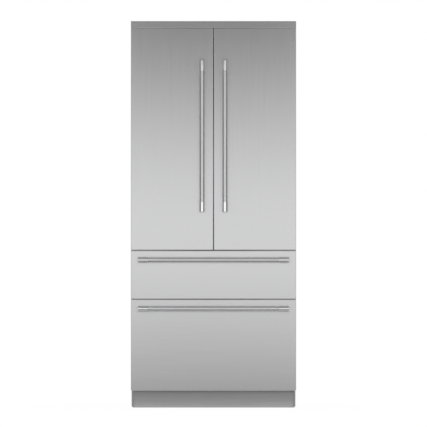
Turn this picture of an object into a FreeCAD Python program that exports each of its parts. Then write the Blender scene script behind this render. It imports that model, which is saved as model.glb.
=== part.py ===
import FreeCAD, Part
import math
import os

import Sketcher
from FreeCAD import Placement, Rotation, Vector

# Built-in french door refrigerator with two freezer drawers, as separate pieces.
# Millimetres, +Z up, -Y is the front. The origin is on the floor, under the middle of the
# overall box. Every driving size is a cell of the sheet "dims".
SIZES = {
    # overall front
    "front_width": 908,
    "kick_opening": 95,
    "lower_front_height": 500,
    "upper_front_height": 264,
    "door_height": 1219,
    "front_gap": 4,
    "door_gap": 4,
    "header_gap": 2,
    "header_height": 37,
    "header_overlap": 60,
    "door_thickness": 61,
    "seal_gap": 14,
    "case_depth": 560,
    # sheet metal and plastic walls
    "front_skin": 1.2,
    "pan_depth": 56,
    "bend_radius": 2.5,
    "case_skin": 1.2,
    "case_inset": 3.5,
    "case_lift": 6,
    "back_sheet": 1,
    "back_rib": 3,
    "rib_width": 40,
    "rib_pitch": 140,
    "rib_low_margin": 60,
    "rib_high_margin": 90,
    "liner_wall": 2,
    "liner_radius": 16,
    "trim_sheet": 1.5,
    "overcut": 1,
    # insulation
    "side_wall": 48,
    "roof_wall": 55,
    "floor_wall": 58,
    "rear_wall": 55,
    "divider": 72,
    "niche_depth": 215,
    "niche_height": 300,
    "niche_wall": 50,
    # wall bracket
    "anchor_width": 320,
    "anchor_depth": 42,
    "anchor_height": 32,
    "anchor_sheet": 2,
    "anchor_hole_pitch": 240,
    "anchor_hole_diameter": 7,
    "anchor_hole_height": 18,
    # handles
    "bar_diameter": 25.4,
    "handle_length": 834,
    "ferrule_diameter": 29,
    "ferrule_length": 58,
    "handle_reach": 62,
    "stem_width": 17,
    "stem_length": 24,
    "stem_setback": 25,
    "handle_offset": 63,
    "door_handle_bottom": 209,
    "drawer_handle_drop": 50,
    # hinges and seals
    "hinge_inset": 12,
    "hinge_setback": 30,
    "hinge_pin_diameter": 10,
    "hinge_pin_length": 18,
    "hinge_plate": 4,
    "hinge_plate_width": 20,
    "hinge_tail": 50,
    "centre_plate": 3,
    "centre_foot_out": 8,
    "centre_foot_in": 16,
    "centre_foot_height": 24,
    "pin_window": 16,
    "running_fit": 0.05,
    "gasket_inset": 14,
    "gasket_width": 18,
    "close_gap": 0.3,
    # door liners and bins
    "dyke_clear": 14,
    "dyke_centre": 58,
    "dyke_depth": 55,
    "dyke_wall": 16,
    "dyke_end_clear": 14,
    "bin_depth": 105,
    "bin_wall": 2.5,
    "bin_height": 100,
    "bin_corner": 4,
    "bin_first": 40,
    "bin_pitch": 350,
    "bin_side_gap": 0.5,
    "bin_ledge": 10,
    "bin_ledge_height": 8,
    "bin_ledge_setback": 5,
    # flip mullion
    "flap_reach": 82,
    "flap_thickness": 17.4,
    "flap_pivot": 44,
    "flap_bottom_gap": 24,
    "flap_top_gap": 40,
    "flap_pin_diameter": 6,
    "flap_pin_length": 24,
    "knuckle_height": 20,
    "knuckle_clear": 1.5,
    # fridge inside
    "duct_depth": 45,
    "duct_half_width": 330,
    "duct_bottom": 222,
    "duct_top": 60,
    "freezer_duct_bottom": 25,
    "freezer_duct_top": 35,
    "cover_sheet": 2,
    "slot_margin": 40,
    "slot_pitch": 30,
    "slot_height": 8,
    "slot_side": 180,
    "track_width": 18,
    "track_depth": 8,
    "track_outer": 300,
    "track_inner": 40,
    "track_bottom": 20,
    "track_top": 15,
    "shelf_front": 125,
    "shelf_side_gap": 14.5,
    "glass": 4,
    "glass_rear_gap": 1,
    "bracket_sheet": 3,
    "bracket_rear": 45,
    "bracket_front": 16,
    "shelf_bar_height": 12,
    "shelf_bar_depth": 10,
    "shelf_bar_gap": 4,
    "shelf_first": 373.75,
    "shelf_pitch": 225,
    "shelf_stagger": 45,
    "crisper_height": 188,
    "crisper_gap": 5,
    "crisper_wall": 3,
    "crisper_front": 4,
    "lid_height": 10,
    "lid_rim": 20,
    "lid_lip": 6,
    "lid_post": 6,
    "lid_rear_gap": 10,
    "panel_width": 340,
    "panel_start": 115,
    "panel_depth": 85,
    "panel_height": 26,
    "panel_round": 6,
    # fans and evaporators
    "fan_radius": 50,
    "fan_hub_radius": 17,
    "fan_hub_depth": 16,
    "fan_shaft_diameter": 6,
    "fan_clearance": 4,
    "fan_gap": 1.5,
    "fridge_fan_drop": 100,
    "freezer_fan_drop": 90,
    "blade_chord": 20,
    "blade_root_chord": 14,
    "blade_sheet": 1.6,
    "blade_root": 2,
    "motor_radius": 20,
    "motor_depth": 14,
    "motor_bar": 8,
    "motor_bar_overlap": 3,
    "coil_tube": 14,
    "coil_plate": 6,
    "coil_rise": 10,
    "coil_side": 60,
    "coil_edge": 20,
    "fridge_coil_bottom": 190,
    "fridge_coil_top": 130,
    "freezer_coil_bottom": 20,
    "freezer_coil_top": 80,
    # drawers
    "rail_height": 72,
    "rail_depth": 60,
    "slide_height": 46,
    "slide_length": 440,
    "slide_start": 6,
    "slide_sheet": 1.5,
    "slide_play": 0.4,
    "channel_depth": 13,
    "runner_depth": 18,
    "middle_start": 1,
    "middle_end": 3,
    "runner_end": 18,
    "runner_foot": 4,
    "runner_foot_height": 60,
    "drawer_bin_wall": 3,
    "upper_bin_height": 160,
    "upper_bin_gap": 7,
    "upper_slide_rise": 100,
    "lower_bin_height": 385,
    "lower_rim_gap": 11,
    "lower_slide_drop": 52,
    "drawer_bin_rear": 18,
    "bin_step_gap": 12,
    "bin_step_lift": 10,
    # base
    "base_floor": 47,
    "base_sheet": 2,
    "section_wall": 3,
    "frame_rear_gap": 4,
    "frame_rail": 30,
    "rail_start": 30,
    "top_plate_start": 10,
    "cross_start": 40,
    "cross_depth": 40,
    "cross_bottom": 60,
    "foot_radius": 20,
    "foot_height": 10,
    "foot_stem_diameter": 12,
    "foot_stem_top": 80,
    "foot_inset": 84,
    "foot_setback": 60,
    "roller_radius": 22,
    "roller_width": 24,
    "roller_inset": 79,
    "roller_setback": 60,
    "roller_side_gap": 1.5,
    "roller_cheek_width": 28,
    "roller_cheek_low": 12,
    "axle_diameter": 10,
    "kick_recess": 8,
    "kick_strip": 12,
    "kick_gap": 3,
    "kick_side_gap": 0.5,
    "kick_tab_offset": 250,
    "kick_tab_width": 40,
    "kick_tab_height": 70,
    "kick_tab_sheet": 4,
    # machine niche
    "condenser_inset": 64,
    "condenser_start": 100,
    "condenser_rear_gap": 35,
    "condenser_low": 66,
    "condenser_height": 16,
    "fin_sheet": 1,
    "fin_low": 58,
    "fin_margin": 40,
    "fin_overhang": 4,
    "compressor_radius": 85,
    "compressor_height": 180,
    "compressor_inset": 224,
    "compressor_setback": 112,
    "can_lift": 15,
    "can_lid_height": 30,
    "can_lid_step": 12,
    "can_foot_width": 190,
    "can_foot_depth": 176,
    "can_foot_sheet": 4,
    "terminal_gap": 1,
    "terminal_width": 22,
    "terminal_depth": 60,
    "terminal_height": 110,
    "grommet_radius": 12,
    "grommet_dx": 80,
    "grommet_dy": 60,
    "blower_offset": 30,
    "blower_rise": 86,
    "blower_radius": 70,
    "blower_hub_radius": 21,
    "shroud_setback": 150,
    "shroud_half": 85,
    "shroud_depth": 36,
    "shroud_bar": 10,
    "shroud_bar_depth": 4,
    "blower_motor_radius": 24,
    "machine_inset": 54,
    "pan_gap": 35,
    "pan_margin": 20,
    "pan_height": 34,
    "pan_wall": 2,
    "control_width": 170,
    "control_depth": 62,
    "control_low": 130,
    "control_height": 132,
    "control_round": 4,
    "inlet_margin": 20,
    "inlet_rise": 30,
    "inlet_width": 28,
    "inlet_height": 20,
    "inlet_depth": 22,
}


class Size:
    """A length that follows the sheet: its expression text and its present value."""

    def __init__(self, text, value):
        self.text = text
        self.value = value

    def __add__(self, other):
        return joined(self, "+", other)

    def __radd__(self, other):
        return joined(other, "+", self)

    def __sub__(self, other):
        return joined(self, "-", other)

    def __rsub__(self, other):
        return joined(other, "-", self)

    def __mul__(self, other):
        return joined(self, "*", other)

    def __rmul__(self, other):
        return joined(other, "*", self)

    def __truediv__(self, other):
        return joined(self, "/", other)

    def __neg__(self):
        return joined(0, "-", self)


def as_size(length):
    return length if isinstance(length, Size) else Size(repr(length), length)


def joined(left, sign, right):
    left, right = as_size(left), as_size(right)
    sums = {
        "+": lambda a, b: a + b,
        "-": lambda a, b: a - b,
        "*": lambda a, b: a * b,
        "/": lambda a, b: a / b,
    }
    return Size(f"({left.text} {sign} {right.text})", sums[sign](left.value, right.value))


doc = FreeCAD.newDocument("refrigerator")
sheet = doc.addObject("Spreadsheet::Sheet", "dims")
for row, (alias, number) in enumerate(SIZES.items(), 1):
    sheet.set(f"A{row}", str(number))
    sheet.setAlias(f"A{row}", alias)
doc.recompute()


class Dims:
    """Each alias of the sheet as a Size."""


d = Dims()
for alias in SIZES:
    setattr(d, alias, Size(f"dims.{alias}", float(sheet.get(alias))))

# Planes that the pieces share
half = d.front_width / 2
y_back = (d.case_depth + d.seal_gap + d.door_thickness + d.handle_reach) / 2
y_case = y_back - d.case_depth
y_inner = y_case - d.seal_gap
y_front = y_inner - d.door_thickness
z_lower = d.kick_opening
z_lower_top = z_lower + d.lower_front_height
z_upper = z_lower_top + d.front_gap
z_upper_top = z_upper + d.upper_front_height
z_door = z_upper_top + d.front_gap
z_door_top = z_door + d.door_height
z_case_top = z_door_top + d.header_gap
z_top = z_case_top + d.header_height
case_half = half - d.case_inset
cavity_half = case_half - d.side_wall
inner_half = cavity_half - d.liner_wall
y_cavity = y_back - d.rear_wall
y_liner = y_cavity - d.liner_wall
z_divider = z_door - d.front_gap / 2
z_fridge = z_divider + d.divider / 2
z_fridge_top = z_case_top - d.roof_wall
z_freezer = z_lower + d.floor_wall
z_freezer_top = z_divider - d.divider / 2
z_step = d.niche_height + d.niche_wall
y_niche = y_back - d.niche_depth
y_step = y_niche - d.niche_wall
z_rail = z_upper - d.front_gap / 2
x_hinge = half - d.hinge_inset
y_hinge = y_front + d.hinge_setback

nodes = {}


def node(name, piece):
    """Keeps a finished piece under the name that its file gets."""
    piece.Label = name
    nodes[name] = piece
    return piece


def bind(thing, **lengths):
    for name, length in lengths.items():
        thing.setExpression(name, as_size(length).text)


def place(thing, x, y, z):
    for name, length in zip("xyz", (x, y, z)):
        thing.setExpression(f"Placement.Base.{name}", as_size(length).text)
    return thing


def box(name, low, high):
    """A block between two corners."""
    block = doc.addObject("Part::Box", name)
    bind(block, Length=high[0] - low[0], Width=high[1] - low[1], Height=high[2] - low[2])
    return place(block, *low)


TURNS = {
    "x": Rotation(Vector(0, 1, 0), 90),
    "y": Rotation(Vector(1, 0, 0), -90),
    "z": Rotation(),
}


def cylinder(name, start, radius, length, along="z"):
    """A round bar from a point, along one axis."""
    bar = doc.addObject("Part::Cylinder", name)
    bind(bar, Radius=radius, Height=length)
    bar.Placement = Placement(Vector(), TURNS[along])
    return place(bar, *start)


def prism(name, start, radius, length, sides, along="z"):
    """A bar with a regular polygon as its section, from a point, along one axis."""
    bar = doc.addObject("Part::Prism", name)
    bar.Polygon = sides
    bind(bar, Circumradius=radius, Height=length)
    bar.Placement = Placement(Vector(), TURNS[along])
    return place(bar, *start)


def fuse(name, *pieces):
    union = doc.addObject("Part::MultiFuse", name)
    union.Shapes = list(pieces)
    union.Refine = True
    return union


def cut(name, base, *tools):
    remains = doc.addObject("Part::Cut", name)
    remains.Base = base
    remains.Tool = tools[0] if len(tools) == 1 else fuse(f"{name}_tools", *tools)
    remains.Refine = True
    return remains


def group(name, *pieces):
    """Separate solids that share one node."""
    bundle = doc.addObject("Part::Compound", name)
    bundle.Links = list(pieces)
    return bundle


def mirrored(name, source):
    """The right-hand copy of a left-hand piece."""
    copy = doc.addObject("Part::Mirroring", name)
    copy.Source = source
    copy.Normal = Vector(1, 0, 0)
    return copy


def runs_along(axis):
    """A test for straight edges along an axis."""

    def test(edge):
        if not isinstance(edge.Curve, Part.Line):
            return False
        return abs(abs(edge.Curve.Direction.dot(axis)) - 1) < 1e-6

    return test


X_AXIS, Y_AXIS, Z_AXIS = Vector(1, 0, 0), Vector(0, 1, 0), Vector(0, 0, 1)


# Sketched bodies


def body(name):
    return doc.addObject("PartDesign::Body", name)


def origin_feature(owner, role):
    return next(f for f in owner.Origin.OriginFeatures if f.Role == role)


def sketch(owner, name, plane, at, *loops):
    """A sketch of closed polygons. Each corner is tied to the sheet by two distances.

    plane is XY, XZ or YZ, and at is the sketch's place on the axis across that plane.
    """
    drawing = owner.newObject("Sketcher::SketchObject", name)
    drawing.AttachmentSupport = [(origin_feature(owner, f"{plane}_Plane"), "")]
    drawing.MapMode = "FlatFace"
    across = -as_size(at) if plane == "XZ" else as_size(at)
    drawing.setExpression("AttachmentOffset.Base.z", across.text)
    for loop in loops:
        draw_polygon(drawing, [(as_size(u), as_size(v)) for u, v in loop])
    return drawing


def draw_polygon(drawing, corners):
    first = drawing.GeometryCount
    count = len(corners)
    for i, (u, v) in enumerate(corners):
        next_u, next_v = corners[(i + 1) % count]
        line = Part.LineSegment(Vector(u.value, v.value, 0), Vector(next_u.value, next_v.value, 0))
        drawing.addGeometry(line, False)
    for i in range(count):
        after = first + (i + 1) % count
        drawing.addConstraint(Sketcher.Constraint("Coincident", first + i, 2, after, 1))
    for i, (u, v) in enumerate(corners, first):
        for kind, length in (("DistanceX", u), ("DistanceY", v)):
            index = drawing.addConstraint(Sketcher.Constraint(kind, -1, 1, i, 1, length.value))
            drawing.renameConstraint(index, f"{kind}{i}")
            drawing.setExpression(f"Constraints.{kind}{i}", length.text)


def rectangle(low_u, low_v, high_u, high_v):
    return [(low_u, low_v), (high_u, low_v), (high_u, high_v), (low_u, high_v)]


def grow(kind, owner, name, drawing, length, reverse=False):
    """A Pad or a Pocket of a sketch."""
    feature = owner.newObject(f"PartDesign::{kind}", name)
    feature.Profile = drawing
    feature.Reversed = reverse
    bind(feature, Length=length)
    return feature


def turn(owner, name, drawing, axis):
    """A full revolution of a sketch about one of the body's axes."""
    feature = owner.newObject("PartDesign::Revolution", name)
    feature.Profile = drawing
    feature.ReferenceAxis = (origin_feature(owner, axis), [""])
    feature.Angle = 360
    return feature


def ease(kind, owner, name, feature, wanted, **size):
    """A Fillet or a Chamfer on a body's edges that pass a test."""
    doc.recompute()
    eased = owner.newObject(f"PartDesign::{kind}", name)
    chosen = [f"Edge{i}" for i, edge in enumerate(feature.Shape.Edges, 1) if wanted(edge)]
    eased.Base = (feature, chosen)
    bind(eased, **size)
    return eased


def hollow(owner, name, feature, wall, wanted):
    """Shells a body inwards through the faces that pass a test."""
    doc.recompute()
    shell = owner.newObject("PartDesign::Thickness", name)
    chosen = [f"Face{i}" for i, face in enumerate(feature.Shape.Faces, 1) if wanted(face)]
    shell.Base = (feature, chosen)
    bind(shell, Value=wall)
    shell.Reversed = True
    shell.Join = 1
    return shell


def block_body(name, low, high, radius, wanted):
    """A block with some of its edges rounded."""
    owner = body(name)
    drawing = sketch(owner, f"{name}_plan", "XY", low[2], rectangle(low[0], low[1], high[0], high[1]))
    pad = grow("Pad", owner, f"{name}_pad", drawing, high[2] - low[2])
    ease("Fillet", owner, f"{name}_round", pad, wanted, Radius=radius)
    return owner


# Cabinet shell: foam between a steel wrapper and two moulded liners
over = d.overcut


def long_corner(edge):
    """Edges that run back from the open front of a cavity."""
    return runs_along(Y_AXIS)(edge) and edge.BoundBox.YMin < y_case.value + 1


def freezer_block(name, margin, radius):
    """The freezer space in side view: a box with a step over the machine niche."""
    owner = body(name)
    profile = [
        (y_case, z_freezer + margin),
        (y_step - margin, z_freezer + margin),
        (y_step - margin, z_step + margin),
        (y_cavity - margin, z_step + margin),
        (y_cavity - margin, z_freezer_top - margin),
        (y_case, z_freezer_top - margin),
    ]
    drawing = sketch(owner, f"{name}_profile", "YZ", margin - cavity_half, profile)
    pad = grow("Pad", owner, f"{name}_pad", drawing, (cavity_half - margin) * 2)
    ease("Fillet", owner, f"{name}_round", pad, long_corner, Radius=radius)
    return owner


inner_radius = d.liner_radius - d.liner_wall
fridge_cavity = block_body(
    "fridge_cavity",
    (-cavity_half, y_case, z_fridge),
    (cavity_half, y_cavity, z_fridge_top),
    d.liner_radius,
    long_corner,
)
fridge_space = block_body(
    "fridge_space",
    (-inner_half, y_case, z_fridge + d.liner_wall),
    (inner_half, y_liner, z_fridge_top - d.liner_wall),
    inner_radius,
    long_corner,
)
freezer_cavity = freezer_block("freezer_cavity", as_size(0), d.liner_radius)
freezer_space = freezer_block("freezer_space", d.liner_wall, inner_radius)
node("fridge_liner", cut("fridge_liner_wall", fridge_cavity, fridge_space))
node("freezer_liner", cut("freezer_liner_wall", freezer_cavity, freezer_space))

shell_half = case_half - d.case_skin
shell_top = z_case_top - d.case_skin
y_sheet = y_back - d.back_rib - d.back_sheet
case_outside = box("case_outside", (-case_half, y_case, d.case_lift), (case_half, y_back, z_case_top))
case_inside = box(
    "case_inside",
    (-shell_half, y_case + d.case_skin, d.case_lift - over),
    (shell_half, y_back + over, shell_top),
)
kick_window = box(
    "kick_window",
    (d.kick_strip - case_half, y_case - over, d.case_lift - over),
    (case_half - d.kick_strip, y_case + d.case_skin + over, z_lower),
)
node("outer_case", cut("case_wrap", case_outside, case_inside, fridge_cavity, freezer_cavity, kick_window))

foam_block = box("foam_block", (-shell_half, y_case + d.case_skin, z_lower), (shell_half, y_sheet, shell_top))
niche = box("niche", (-case_half, y_niche, z_lower - over), (case_half, y_back, d.niche_height))
node("insulation", cut("foam", foam_block, fridge_cavity, freezer_cavity, niche))

panel_sheet = box(
    "panel_sheet",
    (-shell_half, y_sheet, d.niche_height),
    (shell_half, y_sheet + d.back_sheet, shell_top),
)
panel_ribs = []
for i in range(5):
    rib_x = d.rib_pitch * (i - 2) - d.rib_width / 2
    rib_low = (rib_x, y_sheet + d.back_sheet, d.niche_height + d.rib_low_margin)
    rib_high = (rib_x + d.rib_width, y_back, z_case_top - d.rib_high_margin)
    panel_ribs.append(box(f"panel_rib_{i}", rib_low, rib_high))
node("back_panel", fuse("back_panel_sheet", panel_sheet, *panel_ribs))

rail_low, rail_high = z_rail - d.rail_height / 2, z_rail + d.rail_height / 2
y_rail = y_case + d.rail_depth
rail_block = box("rail_block", (-inner_half, y_case, rail_low), (inner_half, y_rail, rail_high))
rail_hollow = box(
    "rail_hollow",
    (d.liner_wall - inner_half, y_case + d.liner_wall, rail_low + d.liner_wall),
    (inner_half - d.liner_wall, y_rail + over, rail_high - d.liner_wall),
)
node("drawer_rail", cut("rail_channel", rail_block, rail_hollow))

# Header strip over the doors: an inverted channel standing on the case top
y_header = y_case + d.header_overlap
header_block = box("header_block", (-half, y_front, z_case_top), (half, y_header, z_top))
header_hollow = box(
    "header_hollow",
    (d.trim_sheet - half, y_front + d.trim_sheet, z_case_top - over),
    (half - d.trim_sheet, y_header - d.trim_sheet, z_top - d.trim_sheet),
)
node("header_trim", cut("header_channel", header_block, header_hollow))

# Wall bracket at the rear of the case top, against tipping
anchor_half = d.anchor_width / 2
anchor_foot = box(
    "anchor_foot",
    (-anchor_half, y_back - d.anchor_depth, z_case_top),
    (anchor_half, y_back, z_case_top + d.anchor_sheet),
)
anchor_wall = box(
    "anchor_wall",
    (-anchor_half, y_back - d.anchor_sheet, z_case_top),
    (anchor_half, y_back, z_case_top + d.anchor_height),
)
anchor_holes = []
for side in (-1, 1):
    hole_at = (
        d.anchor_hole_pitch / 2 * side,
        y_back - d.anchor_sheet - over,
        z_case_top + d.anchor_hole_height,
    )
    hole_radius, hole_length = d.anchor_hole_diameter / 2, d.anchor_sheet + over * 2
    anchor_holes.append(cylinder(f"anchor_hole_{side}", hole_at, hole_radius, hole_length, "y"))
anchor_angle = fuse("anchor_angle", anchor_foot, anchor_wall)
node("wall_bracket", cut("wall_bracket_drilled", anchor_angle, *anchor_holes))

# Hinges: a plate and pin over each door and another under it
pin_radius = d.hinge_pin_diameter / 2
plate_half = d.hinge_plate_width / 2


def top_hinge(name):
    plate_top = z_case_top + d.hinge_plate
    arm = box(
        f"{name}_arm",
        (-x_hinge - plate_half, y_hinge - plate_half, z_case_top),
        (plate_half - x_hinge, y_case + d.hinge_tail, plate_top),
    )
    pin_bottom = z_door_top - d.hinge_pin_length
    pin = cylinder(f"{name}_pin", (-x_hinge, y_hinge, pin_bottom), pin_radius, plate_top - pin_bottom)
    return fuse(name, arm, pin)


def centre_hinge(name):
    plate_low = z_divider - d.centre_plate / 2
    arm = box(
        f"{name}_arm",
        (-x_hinge - plate_half, y_hinge - plate_half, plate_low),
        (plate_half - x_hinge, y_case, plate_low + d.centre_plate),
    )
    foot = box(
        f"{name}_foot",
        (-x_hinge - d.centre_foot_out, y_case - d.centre_plate, z_divider - d.centre_foot_height / 2),
        (d.centre_foot_in - x_hinge, y_case, z_divider + d.centre_foot_height / 2),
    )
    pin_length = z_door + d.hinge_pin_length - plate_low
    pin = cylinder(f"{name}_pin", (-x_hinge, y_hinge, plate_low), pin_radius, pin_length)
    return fuse(name, arm, foot, pin)


left_hinges = [top_hinge("top_hinge"), centre_hinge("centre_hinge")]
right_hinges = [mirrored(f"{hinge.Name}_right", hinge) for hinge in left_hinges]
node("hinge_plates", group("hinge_set", *left_hinges, *right_hinges))


# Forms that several pieces share


def tub(name, low, high, wall, bevel, wanted):
    """An open-topped moulded container, with those of its edges bevelled that pass a test."""
    owner = body(name)
    drawing = sketch(owner, f"{name}_plan", "XY", low[2], rectangle(low[0], low[1], high[0], high[1]))
    block = grow("Pad", owner, f"{name}_pad", drawing, high[2] - low[2])
    if wanted:
        block = ease("Chamfer", owner, f"{name}_bevel", block, wanted, Size=bevel)
    rim = as_size(high[2]).value
    hollow(owner, f"{name}_shell", block, wall, lambda face: face.BoundBox.ZMin > rim - 0.01)
    return owner


def upright_at(y):
    """A test for upright edges at one depth."""
    return lambda edge: runs_along(Z_AXIS)(edge) and abs(edge.BoundBox.Center.y - y.value) < 0.01


BLADE_COUNT = 5
BLADE_PITCH = 42
HUB_SIDES = BLADE_COUNT * 3
MOTOR_SIDES = 8


def fan(name, centre, radius, hub_radius):
    """A bored hub with pitched blades, turning about Y. centre is the front of the hub."""
    owner = body(name)
    corner_turns = [2 * math.pi * i / HUB_SIDES for i in range(HUB_SIDES)]
    hub_corners = [(hub_radius * math.cos(turned), hub_radius * math.sin(turned)) for turned in corner_turns]
    hub_plan = sketch(owner, f"{name}_hub", "XZ", 0, hub_corners)
    grow("Pad", owner, f"{name}_hub_block", hub_plan, d.fan_hub_depth, reverse=True)
    root, root_half, tip_half = hub_radius - d.blade_root, d.blade_root_chord / 2, d.blade_chord / 2
    outline = [(root, -root_half), (radius, -tip_half), (radius, tip_half), (root, root_half)]
    blade_plan = sketch(owner, f"{name}_blade_plan", "XY", 0, outline)
    blade_plan.AttachmentOffset = Placement(Vector(), Rotation(X_AXIS, BLADE_PITCH))
    bind(blade_plan, **{"AttachmentOffset.Base.y": d.fan_hub_depth / 2})
    blade = grow("Pad", owner, f"{name}_blade", blade_plan, d.blade_sheet)
    pattern = owner.newObject("PartDesign::PolarPattern", f"{name}_blades")
    pattern.Originals = [blade]
    pattern.Axis = (origin_feature(owner, "Y_Axis"), [""])
    pattern.Angle = 360
    pattern.Occurrences = BLADE_COUNT
    owner.Tip = pattern
    place(owner, *centre)
    bore_start = (centre[0], centre[1] - over, centre[2])
    bore_radius = d.fan_shaft_diameter / 2 + d.running_fit
    bore = cylinder(f"{name}_bore", bore_start, bore_radius, d.fan_hub_depth + over * 2, "y")
    return cut(f"{name}_bored", owner, bore)


def motor_mount(name, centre, opening_radius, motor_radius, bar_width, bar_depth):
    """A fan motor and its shaft on one bar across an opening. centre is on the front plane."""
    x, y, z = centre
    reach = opening_radius + d.motor_bar_overlap
    bar = box(f"{name}_bar", (x - reach, y, z - bar_width / 2), (x + reach, y + bar_depth, z + bar_width / 2))
    motor = prism(f"{name}_motor", centre, motor_radius, d.motor_depth, MOTOR_SIDES, "y")
    shaft_length = d.motor_depth + d.fan_gap + d.fan_hub_depth + d.fan_gap
    shaft = cylinder(f"{name}_shaft", centre, d.fan_shaft_diameter / 2, shaft_length, "y")
    return [bar, motor, shaft]


def serpentine(name, low, high, run_count, across):
    """A flat tube that runs to and fro along X, joined at alternate ends.

    across is the axis, 1 for Y or 2 for Z, on which the runs follow one another.
    """
    width = d.coil_tube
    step = (high[across] - low[across] - width) / (run_count - 1)
    pieces = []
    for i in range(run_count):
        start, end = list(low), list(high)
        start[across] = low[across] + step * i
        end[across] = start[across] + width
        pieces.append(box(f"{name}_run_{i}", start, end))
        if i == run_count - 1:
            continue
        turn_low, turn_high = list(start), list(end)
        turn_high[across] = start[across] + step + width
        if i % 2 == 0:
            turn_low[0] = high[0] - width
        else:
            turn_high[0] = low[0] + width
        pieces.append(box(f"{name}_turn_{i}", turn_low, turn_high))
    return pieces


# Base: a steel frame on two front feet and two rear rollers
wall = d.section_wall
y_rear_frame = y_back - d.frame_rear_gap
y_skirt = y_case + d.case_skin
y_top_plate = y_case + d.top_plate_start
y_cross = y_case + d.cross_start
y_cross_rear = y_cross + d.cross_depth
y_feet = y_case + d.foot_setback
y_roller = y_back - d.roller_setback
x_feet, x_roller = half - d.foot_inset, half - d.roller_inset
frame_half = shell_half - d.frame_rail
z_plate = d.base_floor - d.base_sheet
left_sides = [
    box("left_rail", (-shell_half, y_case + d.rail_start, z_plate), (-frame_half, y_rear_frame, z_lower)),
    box("left_skirt", (-shell_half, y_skirt, d.case_lift), (wall - shell_half, y_rear_frame, z_lower)),
    box("left_cheek", (-shell_half, y_niche, z_plate), (wall - shell_half, y_rear_frame, d.niche_height)),
]
cheek_gap = d.roller_width / 2 + d.roller_side_gap
for edge, low_x in (("out", -x_roller - cheek_gap - wall), ("in", -x_roller + cheek_gap)):
    cheek_low = (low_x, y_roller - d.roller_cheek_width / 2, d.roller_cheek_low)
    cheek_high = (low_x + wall, y_roller + d.roller_cheek_width / 2, d.base_floor)
    left_sides.append(box(f"roller_cheek_{edge}", cheek_low, cheek_high))
axle_start = (-x_roller - cheek_gap, y_roller, d.roller_radius)
left_sides.append(cylinder("axle", axle_start, d.axle_diameter / 2, cheek_gap * 2, "x"))
right_sides = [mirrored(f"{piece.Name}_right", piece) for piece in left_sides]
frame_parts = [
    box("floor_plate", (-shell_half, y_niche, z_plate), (shell_half, y_rear_frame, d.base_floor)),
    box("top_plate", (-shell_half, y_top_plate, z_lower - d.base_sheet), (shell_half, y_niche, z_lower)),
    box("cross_member", (-frame_half, y_cross, d.cross_bottom), (frame_half, y_cross_rear, z_lower)),
]
left_hollow = box(
    "left_rail_hollow",
    (wall - shell_half, y_cross_rear + over, z_plate + wall),
    (over - frame_half, y_back, z_lower - wall),
)
left_foot_hole = cylinder(
    "left_foot_hole",
    (-x_feet, y_feet, d.cross_bottom - over),
    d.foot_stem_diameter / 2,
    wall + over * 2,
)
frame_cuts = [
    box(
        "cross_hollow",
        (wall - frame_half, y_cross + wall, d.cross_bottom + wall),
        (frame_half - wall, y_cross_rear + over, z_lower - wall),
    ),
    left_hollow,
    left_foot_hole,
    mirrored("right_rail_hollow", left_hollow),
    mirrored("right_foot_hole", left_foot_hole),
]
weldment = fuse("base_weldment", *frame_parts, *left_sides, *right_sides)
node("base_frame", cut("base_frame_drilled", weldment, *frame_cuts))

foot_pad = prism("foot_pad", (-x_feet, y_feet, 0), d.foot_radius, d.foot_height, 6)
stem_length = d.foot_stem_top - d.foot_height
foot_stem = cylinder("foot_stem", (-x_feet, y_feet, d.foot_height), d.foot_stem_diameter / 2, stem_length)
left_foot = fuse("left_foot", foot_pad, foot_stem)
node("levelling_feet", group("feet_pair", left_foot, mirrored("right_foot", left_foot)))

tyre_start = (-x_roller - d.roller_width / 2, y_roller, d.roller_radius)
tyre = cylinder("tyre", tyre_start, d.roller_radius, d.roller_width, "x")
tyre_bore = cylinder("tyre_bore", tyre_start, d.axle_diameter / 2 + d.running_fit, d.roller_width, "x")
node("left_roller", cut("left_wheel", tyre, tyre_bore))
node("right_roller", mirrored("right_wheel", nodes["left_roller"]))

kick_front = y_case + d.kick_recess
kick_half = shell_half - wall - d.kick_side_gap
kick_sheet = box(
    "kick_sheet",
    (-kick_half, kick_front, d.kick_gap),
    (kick_half, kick_front + d.trim_sheet, z_lower - d.kick_gap),
)
tab_x = -d.kick_tab_offset - d.kick_tab_width / 2
kick_tab = box(
    "kick_tab",
    (tab_x, kick_front, d.kick_tab_height),
    (tab_x + d.kick_tab_width, y_cross, d.kick_tab_height + d.kick_tab_sheet),
)
node("kick_plate", fuse("kick_panel", kick_sheet, kick_tab, mirrored("kick_tab_right", kick_tab)))

# Machine niche: condenser, compressor, fan, drain pan and control box
coil_half = half - d.condenser_inset
coil_low = (-coil_half, y_case + d.condenser_start, d.condenser_low)
coil_high = (coil_half, y_niche - d.condenser_rear_gap, d.condenser_low + d.condenser_height)
FIN_COUNT = 4
coil_parts = serpentine("condenser", coil_low, coil_high, 4, 1)
fin_step = (coil_half - d.fin_margin) * 2 / (FIN_COUNT - 1)
for i in range(FIN_COUNT):
    fin_x = d.fin_margin - coil_half + fin_step * i
    fin_low = (fin_x, coil_low[1] - d.fin_overhang, d.fin_low)
    fin_high = (fin_x + d.fin_sheet, coil_high[1] + d.fin_overhang, z_lower - d.base_sheet)
    coil_parts.append(box(f"condenser_fin_{i}", fin_low, fin_high))
node("condenser_coil", fuse("condenser", *coil_parts))

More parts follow.
